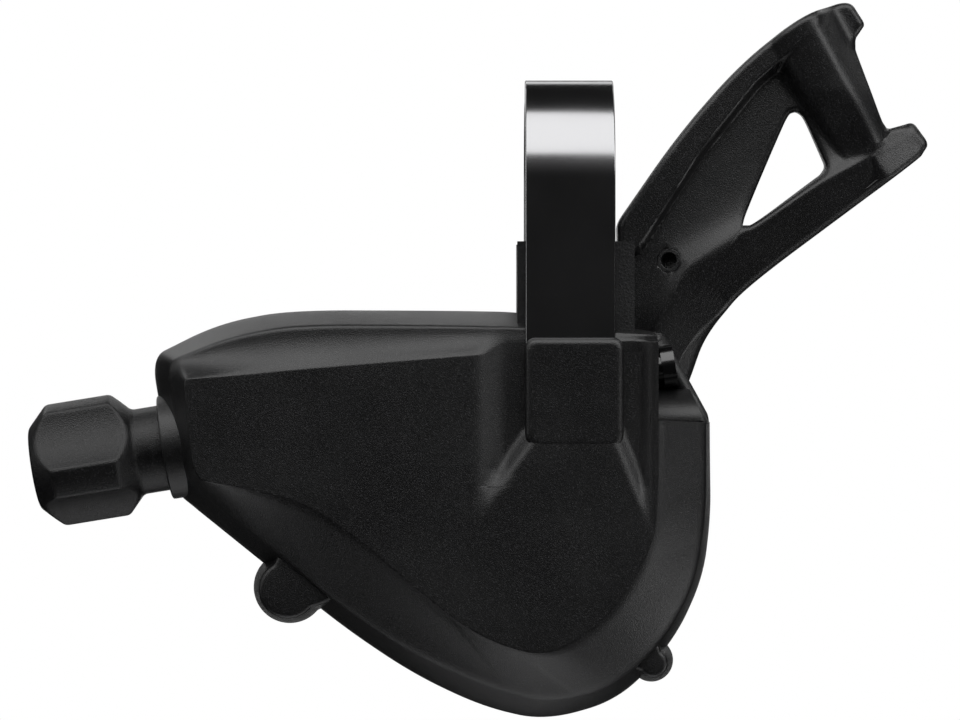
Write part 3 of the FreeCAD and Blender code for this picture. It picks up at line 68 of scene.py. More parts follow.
def smooth(value: Array, low: Array | float, high: Array | float) -> Array:
    """Smoothstep: 0 below low, 1 above high, and 3s^2 - 2s^3 between.

    Args:
        value: Numbers to map.
        low: Where the rise starts.
        high: Where the rise ends; it may lie below low.

    Returns:
        Shares from 0 to 1.
    """
    share = np.clip((value - low) / (high - low), 0.0, 1.0)
    return share * share * (3.0 - 2.0 * share)


def soft_max(first: Array, second: Array, radius: float) -> Array:
    """The larger of two arrays, rounded where they cross.

    Args:
        first: One set of numbers.
        second: The other set.
        radius: Half the width of the blend.

    Returns:
        The larger numbers, plus a parabola within the blend.
    """
    share = np.clip(0.5 + 0.5 * (first - second) / radius, 0.0, 1.0)
    return second + (first - second) * share + radius * share * (1.0 - share)


def soft_min(first: Array, second: Array, radius: float) -> Array:
    """The smaller of two arrays, rounded where they cross."""
    return -soft_max(-first, -second, radius)


def spread(*runs: Run) -> Array:
    """Even steps along each run of first, last and count, one run after the other."""
    return np.concatenate([np.linspace(*run) for run in runs])


def round_slope(far: Array, slope: float, radius: float) -> Array:
    """A slope that starts level at the distance nought, as a hyperbola of that radius."""
    return slope * (np.hypot(far, radius) - radius)


def eased(rings: Array, passes: int) -> Array:
    """Round the kinks of a surface across its rings.

    Args:
        rings: Points of shape (rings, around, 3).
        passes: How often each inner ring takes a quarter, half and quarter of its neighbours and itself.

    Returns:
        The rounded points, with the first and last ring kept.
    """
    for _ in range(passes):
        inner = 0.25 * rings[:-2] + 0.5 * rings[1:-1] + 0.25 * rings[2:]
        rings = np.concatenate([rings[:1], inner, rings[-1:]])
    return rings


def path_distance(points: Array, path: Array) -> tuple[Array, Array, Array]:
    """Distance from points to a run of straight lines in a plane.

    Args:
        points: Array of shape (n, 2).
        path: Corners of the run, of shape (m, 2).

    Returns:
        The distance, the side (positive on the left of the run) and the share of the way along it.
    """
    start, step = path[:-1], np.diff(path, axis=0)
    reach = points[:, None, :] - start[None]
    share = np.clip((reach * step).sum(2) / (step * step).sum(1), 0.0, 1.0)
    gap = reach - share[..., None] * step
    far = np.hypot(gap[..., 0], gap[..., 1])
    nearest = far.argmin(1)
    row = np.arange(len(points))
    side = step[nearest, 0] * reach[row, nearest, 1] - step[nearest, 1] * reach[row, nearest, 0]
    length = np.hypot(step[:, 0], step[:, 1])
    before = np.concatenate([[0.0], np.cumsum(length)[:-1]])
    along = (before[nearest] + share[row, nearest] * length[nearest]) / length.sum()
    return far[row, nearest], np.sign(side), along


def loop_distance(points: Array, loop: Array, parts: int = 24) -> Array:
    """Distance from points to a closed run of lines, worked out in parts to keep the arrays small."""
    closed = np.concatenate([loop, loop[:1]])
    return np.concatenate([path_distance(part, closed)[0] for part in np.array_split(points, parts)])


def beside(points: Array, start: Pair, end: Pair) -> tuple[Array, Array]:
    """Distance from points to one straight line, and on which side of it they lie.

    Args:
        points: Array of shape (n, 2).
        start: Start of the line.
        end: End of the line.

    Returns:
        The distance, and a share that is 1 abreast on the left, 0 on the right and between past the ends.
    """
    line = np.array([start, end])
    far = path_distance(points, line)[0]
    step, gap = line[1] - line[0], points - line[0]
    across = (step[0] * gap[:, 1] - step[1] * gap[:, 0]) / np.hypot(*step)
    return far, smooth(across / np.maximum(far, TINY), -1.0, 1.0)


def parabola(start: Array, corner: Array, end: Array, steps: int) -> Array:
    """Curves that round corners: (1 - t)^2 start + 2t(1 - t) corner + t^2 end, t from 0 to 1.

    Args:
        start: Where each curve starts, of shape (n, 2).
        corner: The corner that it rounds.
        end: Where it ends.
        steps: Points in each curve.

    Returns:
        Points of shape (n, steps, 2).
    """
    bend = np.linspace(0.0, 1.0, steps)[None, :, None]
    leaning = (1 - bend) ** 2 * start[:, None] + 2 * bend * (1 - bend) * corner[:, None]
    return leaning + bend ** 2 * end[:, None]


@dataclass(frozen=True)
class Outline:
    """A closed outline in X and Z: corners, each with the share of its edges that its curve takes up."""

    corners: Corners

    def points(self, per_corner: int) -> Array:
        """Sample the outline: a parabola at each corner, then the straight run to the next.

        Args:
            per_corner: Points for each corner and the run after it.

        Returns:
            Points of shape (corners x per_corner, 2).
        """
        data = np.array(self.corners)
        place, share = data[:, :2], data[:, 2:]
        start = place + (np.roll(place, 1, 0) - place) * share
        end = place + (np.roll(place, -1, 0) - place) * share
        curve = per_corner * 2 // 3
        rounded = parabola(start, place, end, curve)
        run = np.linspace(0.0, 1.0, per_corner - curve + 2)[None, 1:-1, None]
        straight = end[:, None] * (1 - run) + np.roll(start, -1, 0)[:, None] * run
        return np.concatenate([rounded, straight], 1).reshape(-1, 2)


@dataclass
class Shell:
    """One skin: points in millimetres, and faces that name them."""

    points: Array
    faces: list[list[int]]


def lofted(rings: Array, cap_first: bool = False, cap_last: bool = False) -> Shell:
    """Join closed rings of points by rows of four-sided faces.

    Args:
        rings: Points of shape (rings, around, 3).
        cap_first: Close the first ring with one face.
        cap_last: Close the last ring with one face.

    Returns:
        The skin.
    """
    count, around = rings.shape[:2]
    index = np.arange(count * around).reshape(count, around)
    after = np.roll(index, -1, 1)
    faces = np.stack([index[:-1], after[:-1], after[1:], index[1:]], -1).reshape(-1, 4).tolist()
    if cap_first:
        faces.append(index[0].tolist())
    if cap_last:
        faces.append(index[-1].tolist())
    return Shell(rings.reshape(-1, 3), faces)


def in_plane(flat: Array, level: Array | float) -> Array:
    """Points of X and Z, set at a Y level."""
    level = np.broadcast_to(level, flat.shape[:-1])
    return np.stack([flat[..., 0], level, flat[..., 1]], -1)


def turned(profile: Array, start: Array, axis: Array, front: Array, around: int) -> Array:
    """Carry a profile round an axis.

    Args:
        profile: Rows of a distance along the axis, then one radius or a radius for each point of the ring.
        start: A point on the axis.
        axis: Direction of the axis.
        front: Direction of the angle nought, square to the axis.
        around: Points in each ring.

    Returns:
        Rings of shape (n, around, 3).
    """
    angle = np.linspace(0.0, TURN, around, endpoint=False)
    out = np.cos(angle)[:, None] * front + np.sin(angle)[:, None] * np.cross(axis, front)
    radius = np.broadcast_to(profile[:, 1:], (len(profile), around))
    return start + profile[:, :1, None] * axis + radius[..., None] * out


def rounded_profile(corners: list[Pair] | Path, radius: float, steps: int = 6) -> Array:
    """An open profile with each inner corner rounded by a parabola.

    Args:
        corners: Pairs of numbers.
        radius: How far from a corner its curve starts and ends, at most half an edge.
        steps: Points in each curve.

    Returns:
        The profile's points.
    """
    place = np.array(corners, float)
    corner = place[1:-1]
    before, after = place[:-2] - corner, place[2:] - corner
    reach_in, reach_out = np.hypot(*before.T)[:, None], np.hypot(*after.T)[:, None]
    start = corner + before / reach_in * np.minimum(radius, reach_in * NEARLY_HALF)
    end = corner + after / reach_out * np.minimum(radius, reach_out * NEARLY_HALF)
    curve = parabola(start, corner, end, steps)
    return np.concatenate([place[:1], curve.reshape(-1, 2), place[-1:]])


# Finishes

class Surface(Enum):
    """How a finish is worked: spark-eroded mould, polish, or lathe marks."""

    SPARK = "spark"
    POLISH = "polish"
    TURNED = "turned"


def node_group(name: str, inputs: tuple[str, ...], outputs: tuple[str, ...]) -> bpy.types.NodeTree:
    """Start a node group with a place as its first input, and numbers as its other inputs and outputs.

    Args:
        name: Name of the group.
        inputs: Names of the numbers that it takes.
        outputs: Names of the numbers that it gives.

    Returns:
        The group, with sockets and no nodes.
    """
    group = bpy.data.node_groups.new(name, "ShaderNodeTree")
    group.interface.new_socket("Vector", in_out="INPUT", socket_type="NodeSocketVector")
    for labels, way in ((inputs, "INPUT"), (outputs, "OUTPUT")):
        for label in labels:
            group.interface.new_socket(label, in_out=way, socket_type="NodeSocketFloat")
    return group


Socket = str | int


def preset(node: bpy.types.Node, values: dict[Socket, float | tuple[float, ...]]) -> None:
    """Set inputs of a node to constants."""
    for socket, value in values.items():
        node.inputs[socket].default_value = value


def wire(tree: bpy.types.NodeTree, *links: tuple[bpy.types.Node, Socket, bpy.types.Node, Socket]) -> None:
    """Link nodes: each link gives the node and output that it leaves, then those that it enters."""
    for source, leaves, target, enters in links:
        tree.links.new(source.outputs[leaves], target.inputs[enters])


@dataclass(frozen=True)
class SparkGrain:
    """The grain of a spark-eroded mould: fine noise and a cell pattern."""

    detail: float = 3.0
    octave_share: float = 0.6
    cell_share: float = 0.6
    speck_start: float = 0.56
    speck_full: float = 0.76

    def group(self) -> bpy.types.NodeTree:
        """Build the node group: the height is noise plus a share of the cells, the specks its peaks.

        Returns:
            The group.
        """
        group = node_group("spark_grain", ("Scale",), ("Height", "Speck"))
        nodes = group.nodes
        source, result = nodes.new("NodeGroupInput"), nodes.new("NodeGroupOutput")
        fine, cells = nodes.new("ShaderNodeTexNoise"), nodes.new("ShaderNodeTexVoronoi")
        mixed, sparse = nodes.new("ShaderNodeMath"), nodes.new("ShaderNodeMapRange")
        mixed.operation = "MULTIPLY_ADD"
        preset(fine, {"Detail": self.detail, "Roughness": self.octave_share})
        preset(mixed, {1: self.cell_share})
        preset(sparse, {"From Min": self.speck_start, "From Max": self.speck_full})
        for texture in (fine, cells):
            wire(group, (source, "Vector", texture, "Vector"), (source, "Scale", texture, "Scale"))
        wire(group, (cells, "Distance", mixed, 0), (fine, "Fac", mixed, 2), (fine, "Fac", sparse, "Value"),
             (mixed, "Value", result, "Height"), (sparse, "Result", result, "Speck"))
        return group


@dataclass(frozen=True)
class HandlingFilm:
    """Slow changes of gloss from the mould and from handling."""

    scale: float = 90.0
    detail: float = 2.0
    lowest: float = 0.3
    highest: float = 0.7

    def group(self) -> bpy.types.NodeTree:
        """Build the node group: a wide soft noise, spread from Low to High.

        Returns:
            The group.
        """
        group = node_group("handling_film", ("Low", "High"), ("Value",))
        nodes = group.nodes
        source, result = nodes.new("NodeGroupInput"), nodes.new("NodeGroupOutput")
        cloud, span = nodes.new("ShaderNodeTexNoise"), nodes.new("ShaderNodeMapRange")
        preset(cloud, {"Scale": self.scale, "Detail": self.detail})
        preset(span, {"From Min": self.lowest, "From Max": self.highest})
        wire(group, (source, "Vector", cloud, "Vector"), (cloud, "Fac", span, "Value"),
             (source, "Low", span, "To Min"), (source, "High", span, "To Max"),
             (span, "Result", result, "Value"))
        return group


LATHE_STRETCH = (1.0, 40.0, 1.0)


@dataclass(frozen=True)
class Finish:
    """A material's colour, gloss and grain.

    Grain is the size of its texture in millimetres, depth how far the texture stands up.
    """

    name: str
    colour: Colour
    speck: Colour
    roughness: Pair
    surface: Surface
    metallic: float = 0.0
    specular: float = 0.52
    grain: float = 0.14
    depth: float = 0.033

    def material(self) -> bpy.types.Material:
        """Build the material: film feeds roughness, grain feeds the bump and the specks of colour.

        Returns:
            The material.
        """
        made = bpy.data.materials.new(self.name)
        made.use_nodes = True
        nodes = made.node_tree.nodes
        shader, place = nodes["Principled BSDF"], nodes.new("ShaderNodeTexCoord")
        film, grain = nodes.new("ShaderNodeGroup"), nodes.new("ShaderNodeGroup")
        film.node_tree = bpy.data.node_groups["handling_film"]
        grain.node_tree = bpy.data.node_groups["spark_grain"]
        stretch, bump = nodes.new("ShaderNodeMapping"), nodes.new("ShaderNodeBump")
        tint = nodes.new("ShaderNodeMix")
        tint.data_type = "RGBA"
        preset(shader, {"Metallic": self.metallic, "Specular IOR Level": self.specular})
        preset(film, dict(zip(("Low", "High"), self.roughness)))
        preset(grain, {"Scale": 1.0 / (self.grain * MM)})
        preset(tint, {"A": (*self.colour, 1.0), "B": (*self.speck, 1.0)})
        preset(bump, {"Strength": 1.0, "Distance": self.depth * MM})
        if self.surface is Surface.TURNED:
            preset(stretch, {"Scale": LATHE_STRETCH})
        wire(made.node_tree, (place, "Object", stretch, "Vector"), (place, "Object", film, "Vector"),
             (film, "Value", shader, "Roughness"), (stretch, "Vector", grain, "Vector"),
             (grain, "Speck", tint, "Factor"), (tint, "Result", shader, "Base Color"),
             (grain, "Height", bump, "Height"), (bump, "Normal", shader, "Normal"))
        return made


BLACK = (0.0022, 0.0022, 0.0024)
BLACK_SPECK = (0.0480, 0.0480, 0.0495)
FINISHES = {
    "cover_plastic": Finish("spark_grain_black", BLACK, BLACK_SPECK, (0.33, 0.40), Surface.SPARK),
    "case_plastic": Finish("matt_case_black", BLACK, BLACK_SPECK, (0.35, 0.42), Surface.SPARK),
    "lever_plastic": Finish("coarse_lever_black", BLACK, BLACK_SPECK, (0.33, 0.40), Surface.SPARK,
                            grain=0.17, depth=0.03),
    "knob_plastic": Finish("fine_knob_black", BLACK, BLACK_SPECK, (0.30, 0.36), Surface.SPARK,
                           specular=0.36, grain=0.16, depth=0.05),
    "band_alloy": Finish("polished_band", (0.30, 0.30, 0.305), (0.33, 0.33, 0.335), (0.17, 0.20),
                         Surface.POLISH, metallic=1.0, grain=0.12, depth=0.0006),
    "bracket_alloy": Finish("cast_black", (0.005, 0.005, 0.0053), (0.03, 0.03, 0.031), (0.42, 0.5),
                            Surface.SPARK, grain=0.3, depth=0.04),
    "plated_steel": Finish("bright_plating", (0.52, 0.52, 0.54), (0.58, 0.58, 0.60), (0.28, 0.36),
                           Surface.TURNED, metallic=1.0, grain=0.5, depth=0.002),
    "black_steel": Finish("blackened_steel", (0.13, 0.13, 0.135), (0.17, 0.17, 0.175), (0.24, 0.34),
                          Surface.TURNED, metallic=1.0, grain=0.5, depth=0.002),
    "spring_steel": Finish("drawn_wire", (0.42, 0.42, 0.43), (0.46, 0.46, 0.47), (0.26, 0.32),
                           Surface.POLISH, metallic=1.0, grain=0.2, depth=0.001),
    "turned_alloy": Finish("turned_alloy_grey", (0.30, 0.30, 0.31), (0.34, 0.34, 0.35), (0.28, 0.34),
                           Surface.TURNED, metallic=1.0, grain=0.4, depth=0.002),
    "gloss_black": Finish("gloss_black_plug", BLACK, BLACK, (0.14, 0.18), Surface.POLISH,
                          specular=0.8, grain=0.3, depth=0.002),
    "bush_plastic": Finish("grey_acetal", (0.16, 0.16, 0.155), (0.18, 0.18, 0.175), (0.40, 0.48),
                           Surface.SPARK, grain=0.4, depth=0.01),
}
NODE_FINISH = {
    "bracket_alloy": ("clamp_bracket",),
    "plated_steel": ("clamp_nut", "clamp_washer", "support_plate", "plate_posts", "drive_plate",
                     "drive_pawl", "hold_pawl", "drive_pawl_pin", "hold_pawl_pin", "lever_washer",
                     "axle_clip"),
    "black_steel": ("clamp_bolt", "bracket_screws", "cover_screws", "band_screw", "plate_screws",
                    "main_axle", "axle_nut"),
    "gloss_black": ("port_plug",),
    "spring_steel": ("drive_pawl_spring", "hold_pawl_spring", "lever_spring"),
    "turned_alloy": ("adjuster_screw",),
    "bush_plastic": ("case_bush", "drum_bush", "cable_drum", "detent_ring"),
}
MATERIALS: dict[str, bpy.types.Material] = {}
SHARP_ANGLE = math.radians(38.0)
WELD = 2e-6
SLIVER = 1e-7


def piece(name: str, shells: list[Shell], slot: str, body: str,
          nodes: tuple[str, ...] = ()) -> bpy.types.Object:
    """Make one object of skins and set it on its body.

    Args:
        name: Name of the piece.
        shells: Its skins, in millimetres.
        slot: Material slot that gives the finish.
        body: Body that it rides on.
        nodes: Frame nodes that it stands for.

    Returns:
        The object.
    """
    offset = 0
    points, faces = [], []
    for shell in shells:
        points.append(shell.points * MM)
        faces += [[index + offset for index in face] for face in shell.faces]
        offset += len(shell.points)
    mesh = bpy.data.meshes.new(name)
    mesh.from_pydata(np.concatenate(points).tolist(), [], faces)
    work = bmesh.new()
    work.from_mesh(mesh)
    bmesh.ops.remove_doubles(work, verts=work.verts, dist=WELD)
    bmesh.ops.dissolve_degenerate(work, dist=SLIVER, edges=work.edges)
    bmesh.ops.recalc_face_normals(work, faces=work.faces)
    work.to_mesh(mesh)
    work.free()
    mesh.shade_smooth()
    mesh.set_sharp_from_angle(angle=SHARP_ANGLE)
    thing = bpy.data.objects.new(name, mesh)
    bpy.context.scene.collection.objects.link(thing)
    mesh.materials.append(MATERIALS[slot])
    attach(thing, body)
    if nodes:
        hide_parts(*nodes)
    log.info("%s: %d faces on %s", name, len(mesh.polygons), body)
    return thing


# Sub-assemblies

@dataclass(frozen=True)
class Ear:
    """A round screw ear about Y that runs into the body in a hollow curve.

    Inward is the angle of the way to the body, from +X towards +Z.
    """

    x: float
    z: float
    radius: float
    inward: float
    growth: float = 0.9
    facing: Pair = (0.15, 0.95)
    around: int = 120

    def shell(self, corners: list[Pair], edge: float) -> Shell:
        """Turn a profile about the ear's axis, and widen it towards the body by up to the growth.

        Args:
            corners: Pairs of Y and radius.
            edge: Reach of the curve at each corner.

        Returns:
            The skin.
        """
        middle = np.array([self.x, 0.0, self.z])
        rings = turned(rounded_profile(corners, edge), middle, ALONG_Y, ALONG_X, self.around)
        gap = rings[..., [0, 2]] - (self.x, self.z)
        facing = np.cos(np.arctan2(gap[..., 1], gap[..., 0]) - self.inward)
        grown = gap * (1.0 + self.growth * smooth(facing, *self.facing))[..., None]
        return lofted(in_plane(grown + (self.x, self.z), rings[..., 1]))


EARS = (Ear(-38.6, -56.1, 5.0, math.radians(40.0)), Ear(11.4, -66.2, 3.0, math.radians(135.0)))


@dataclass
class ClampBand:
    """The polished hairpin band over the handlebar."""

    bar_radius: float = 11.1
    thickness: float = 3.0
    width: float = 12.2
    front_leg: float = 34.9
    rear_leg: float = 25.0
    leg_gap: float = 0.4
    edge: float = 0.2
    front_rows: int = 20
    crown_rows: int = 97
    rear_rows: int = 16
    edge_steps: int = 6

    def build(self) -> None:
        """Carry a rounded rectangle along the hairpin: up the front leg, over half a circle and down."""
        middle = self.bar_radius + self.thickness / 2
        turn = np.linspace(0.0, math.pi, self.crown_rows)
        front = np.linspace(-self.front_leg, -self.leg_gap, self.front_rows)
        rear = np.linspace(-self.leg_gap, -self.rear_leg, self.rear_rows)
        out = np.concatenate([
            np.tile([-1.0, 0.0], (self.front_rows, 1)), np.stack([-np.cos(turn), np.sin(turn)], 1),
            np.tile([1.0, 0.0], (self.rear_rows, 1))])
        path = np.stack([middle * out[:, 0], np.concatenate([front, middle * np.sin(turn), rear])], 1)
        quarter = np.linspace(0.0, math.pi / 2, self.edge_steps)
        angle = np.concatenate([quarter + number * math.pi / 2 for number in range(4)])
        corner = np.repeat(np.array([(1, 1), (-1, 1), (-1, -1), (1, -1)]), len(quarter), axis=0)
        inset = np.array([self.width / 2 - self.edge, self.thickness / 2 - self.edge])
        section = corner * inset + self.edge * np.stack([np.cos(angle), np.sin(angle)], 1)
        rings = np.empty((len(path), len(section), 3))
        rings[..., 0] = section[:, 0]
        rings[..., 1:] = path[:, None] + out[:, None] * section[:, 1:]
        piece("clamp_band_polished", [lofted(rings, True, True)], "band_alloy", "housing", ("clamp_band",))


@dataclass
class CableLine:
    """The straight way of the cable from the drum out through the adjuster."""

    axle: Pair = (0.5, -44.5)
    depth: float = -4.0
    drum_radius: float = 16.6
    tilt: float = math.radians(9.2)

    def start(self) -> Array:
        """The point where the cable leaves the drum."""
        return np.array([self.axle[0] - self.drum_radius * math.sin(self.tilt), self.depth,
                         self.axle[1] + self.drum_radius * math.cos(self.tilt)])

    def way(self) -> Array:
        """The direction from the drum to the adjuster."""
        return np.array([-math.cos(self.tilt), 0.0, -math.sin(self.tilt)])

    def turned(self, profile: Array, around: int) -> Array:
        """Carry a profile round the cable line, with the angle nought at the front."""
        return turned(profile, self.start(), self.way(), -ALONG_Y, around)


@dataclass
class AdjusterKnob:
    """The fluted knob of the cable adjuster."""

    neck_start: float = 50.1
    shoulder: float = 58.1
    land_start: float = 60.6
    land_end: float = 69.6
    end: float = 72.5
    neck_radius: float = 5.9
    land_radius: float = 8.5
    nose_radius: float = 5.5
    socket_radius: float = 2.6
    socket_depth: float = 8.0
    bore_radius: float = 3.1
    cable_radius: float = 1.2
    cable_run: float = 2.0
    flute_floor: float = 6.6
    flute_radius: float = 14.4
    flute_phase: float = math.radians(27.0)
    flutes: int = 4
    blend: float = 0.28
    neck_margin: float = 0.5
    edge: float = 0.55
    edge_steps: int = 8
    fine_steps: int = 6
    around: int = 240

    def build(self, line: CableLine) -> None:
        """Turn the knob's profile about the cable and limit its radius by the nearest flute's circle.

        A flute is a circle of radius R at distance D from the axis, so at an angle a from its middle it
        starts at D cos a - sqrt(R^2 - D^2 sin^2 a).
        """
        floor = self.end - self.socket_depth
        outside = rounded_profile([
            (self.neck_start, self.bore_radius), (self.neck_start, self.neck_radius),
            (self.shoulder, self.neck_radius), (self.land_start, self.land_radius),
            (self.land_end, self.land_radius), (self.end, self.nose_radius),
            (self.end, self.socket_radius), (floor, self.socket_radius), (floor, self.cable_radius),
            (floor - self.cable_run, self.cable_radius)], self.edge, self.edge_steps)
        runs = np.linspace(0.0, 1.0, self.fine_steps, endpoint=False)[None, :, None]
        fine = (outside[:-1, None] * (1 - runs) + outside[1:, None] * runs).reshape(-1, 2)
        fine = np.concatenate([fine, outside[-1:]])
        angle = np.linspace(0.0, TURN, self.around, endpoint=False)
        pitch = TURN / self.flutes
        offset = (angle - self.flute_phase + pitch / 2) % pitch - pitch / 2
        distance = self.flute_floor + self.flute_radius
        inside = np.maximum(self.flute_radius ** 2 - (distance * np.sin(offset)) ** 2, 0.0)
        flute = distance * np.cos(offset) - np.sqrt(inside)
        radius = soft_min(fine[:, 1:], np.broadcast_to(flute, (len(fine), self.around)), self.blend)
        deep = fine[:, 1:] < self.neck_radius - self.neck_margin
        radius = np.where(deep, fine[:, 1:], radius)
        rings = line.turned(np.concatenate([fine[:, :1], radius], 1), self.around)
        skin = lofted(rings, True, True)
        piece("adjuster_knob_fluted", [skin], "knob_plastic", "adjuster", ("adjuster_knob",))


@dataclass(frozen=True)
class Hollow:
    """A hollow of the cover's face beside the bump, on one side of the middle.

    It starts at one X and is whole at another. Foot is a point on the edge of its lower slope, uphill the
    way from there into the hollow; the slope runs from the lip before that edge to its end behind it.
    """

    depth: float
    start: float
    whole: float
    foot: Pair
    uphill: Pair
    end: float
    lip: float = -0.5

    def at(self, flat: Array) -> Array:
        """Depth at points of X and Z: a ramp across X, times a ramp up the lower slope."""
        x = flat[..., 0]
        climb = (flat - self.foot) @ np.array(self.uphill) / math.hypot(*self.uphill)
        inside = smooth(x, self.start, self.whole) * (x * self.whole > 0)
        return self.depth * inside * smooth(climb, self.lip, self.end)


@dataclass
class TopCover:
    """The moulded cover: flat face, cove, rim and flared wall, with a bump before the band and two ears.

    The outlines have the same corners in the same order, and each list one value a corner. A run of rows
    gives the first share of the way, the last and how many.
    """

    face_y: float = -15.5
    joint_y: float = -3.0
    wall: float = 1.6
    hollows: tuple[Hollow, ...] = (
        Hollow(2.1, -13.6, -8.6, (-5.3, -36.1), (-7.3, 5.1), 2.2),
        Hollow(1.5, 11.6, 9.2, (6.1, -36.1), (7.6, 3.1), 2.0))
    bump_low: Pair = (-6.2, -36.7)
    bump_high: Pair = (7.2, -21.7)
    bump_front: float = -15.98
    bump_foot: float = -15.56
    bump_edge: float = 0.95
    bump_core: float = 5.2
    bump_depth: float = 4.5
    bump_round: Pair = (0.05, 0.16)
    bump_round_fall: float = 0.012
    bump_top_share: float = 0.7
    bump_face_rows: int = 14
    bump_edge_rows: int = 10
    bump_wall_rows: int = 6
    bump_points: int = 36
    ear_front: float = -9.4
    ear_draft: float = 1.1
    ear_edge: float = 0.7
    blend: float = 0.8
    per_corner: int = 24
    face_rows: Run = (0.0, 0.94, 72)
    crease_rows: Run = (0.946, 1.0, 12)
    cove_rows: int = 40
    cove_crowding: float = 1.4
    rim_rows: Run = (0.02, 0.16, 8)
    wall_rows: Run = (0.2, 1.0, 14)
    crease_span: int = 6
    crease_passes: int = 2
    rim_span: int = 9
    rim_passes: int = 6
    inner_stride: int = 4
    inner_turn: float = 24.0
    face: Corners = (
        (11.8, -22.2, 0.1), (-6.0, -23.5, 0.4), (-16.0, -24.3, 0.4), (-36.7, -26.0, 0.4),
        (-45.0, -26.8, 0.4), (-52.4, -27.3, 0.1), (-51.0, -40.9, 0.25), (-43.5, -42.1, 0.4),
        (-36.0, -44.0, 0.45), (-29.0, -48.7, 0.45), (-22.0, -54.8, 0.45), (-13.0, -62.0, 0.45),
        (-3.5, -65.2, 0.45), (4.0, -60.6, 0.45), (8.6, -54.6, 0.45), (11.4, -49.0, 0.45),
        (11.9, -41.0, 0.4), (11.9, -33.1, 0.03), (11.9, -32.95, 0.03), (11.9, -22.4, 0.03))
    rim: Corners = (
        (11.8, -21.2, 0.1), (-6.0, -20.3, 0.4), (-16.0, -20.0, 0.4), (-37.5, -19.9, 0.4),
        (-46.5, -21.6, 0.4), (-55.2, -25.0, 0.2), (-52.6, -41.2, 0.2), (-42.3, -49.3, 0.4),
        (-32.3, -57.5, 0.4), (-22.6, -64.2, 0.45), (-12.0, -69.0, 0.45), (-3.4, -71.6, 0.45),
        (5.5, -69.6, 0.45), (12.4, -63.6, 0.45), (17.0, -55.5, 0.45), (18.5, -46.0, 0.45),
        (18.6, -39.0, 0.4), (18.6, -33.1, 0.03), (18.6, -33.0, 0.03), (11.9, -22.4, 0.03))
    joint: Corners = (
        (11.8, -20.8, 0.1), (-6.0, -18.1, 0.4), (-16.0, -17.9, 0.4), (-38.6, -17.8, 0.4),
        (-48.5, -19.7, 0.45), (-57.7, -24.3, 0.2), (-54.6, -42.8, 0.15), (-43.0, -52.0, 0.4),
        (-31.6, -61.3, 0.4), (-21.7, -68.0, 0.45), (-12.0, -72.6, 0.45), (-3.3, -74.6, 0.45),
        (7.2, -71.6, 0.45), (14.7, -63.2, 0.45), (18.6, -54.6, 0.45), (19.6, -46.0, 0.45),
        (19.5, -39.0, 0.4), (19.45, -33.1, 0.03), (19.45, -33.0, 0.03), (11.9, -22.4, 0.03))
    reach: tuple[float, ...] = (1,) * 18 + (0, 0)
    rim_level: tuple[float, ...] = (-13.2, -13.4, -13.5, -13.5, -13.3, -11.8) + (-10.0,) * 14
    cove: tuple[float, ...] = (
        1.6, 2.0, 2.2, 2.2, 2.1, 1.7, 1.0, 1.0, 1.0, 1.1, 1.1, 1.0, 0.9, 0.85, 0.85, 0.9) + (1.0,) * 4
    flare: tuple[float, ...] = (1.0, 1.0, 1.2, 1.4, 1.4) + (1.3,) * 15
    middle: Pair = (-2.0, -42.0)

    def along(self, values: tuple[float, ...]) -> Array:
        """Spread one value a corner over the outline's points, in straight lines between corners."""
        count = len(values)
        where = np.arange(count * self.per_corner) / self.per_corner
        return np.interp(where, np.arange(count + 1), (*values, values[0]))

    def skin(self) -> Shell:
        """The outer surface: rings from the middle of the face to its crease, down the cove and the wall.

        Across the cove the depth is 1 - (1 - s)^p of the rim's, s the share of the way and p from the cove
        list. Down the wall the width grows as 1 - (1 - s)^q, with q from the flare list.

        Returns:
            The closed skin.
        """
        face, rim, joint = (Outline(corners).points(self.per_corner)
                            for corners in (self.face, self.rim, self.joint))
        reach, level = self.along(self.reach)[:, None], self.along(self.rim_level)
        power, middle = self.along(self.cove), np.array(self.middle)
        out = spread(self.face_rows, self.crease_rows)[:, None, None]
        rows = [in_plane(middle + (face - middle) * out, self.face_y)]
        share = np.linspace(0.0, 1.0, self.cove_rows)[1:, None, None] ** self.cove_crowding
        share = np.minimum(share, reach)
        bevel = face + (rim - face) * share
        fall = 1.0 - (1.0 - share[..., 0]) ** power
        rows.append(in_plane(bevel, self.face_y + (level - self.face_y) * fall))
        top, top_y = bevel[-1], rows[-1][-1, :, 1]
        foot = face + (joint - face) * reach
        down = spread(self.rim_rows, self.wall_rows)[:, None]
        widened = (1.0 - (1.0 - down) ** self.along(self.flare))[..., None]
        rows.append(in_plane(top + (foot - top) * widened, top_y + (self.joint_y - top_y) * down))
        rings = np.concatenate(rows)
        deep = self.face_y + sum(hollow.at(rings[..., [0, 2]]) for hollow in self.hollows)
        crease, edge = len(out), len(out) + len(share)
        rings[:edge, :, 1] = soft_max(rings[:edge, :, 1], deep[:edge], self.blend) - self.blend / 4
        near_crease = slice(crease - self.crease_span, crease + self.crease_span)
        near_rim = slice(edge - self.rim_span, edge + self.rim_span)
        rings[near_crease] = eased(rings[near_crease], self.crease_passes)
        rings[near_rim] = eased(rings[near_rim], self.rim_passes)
        return self.walled(rings, edge)

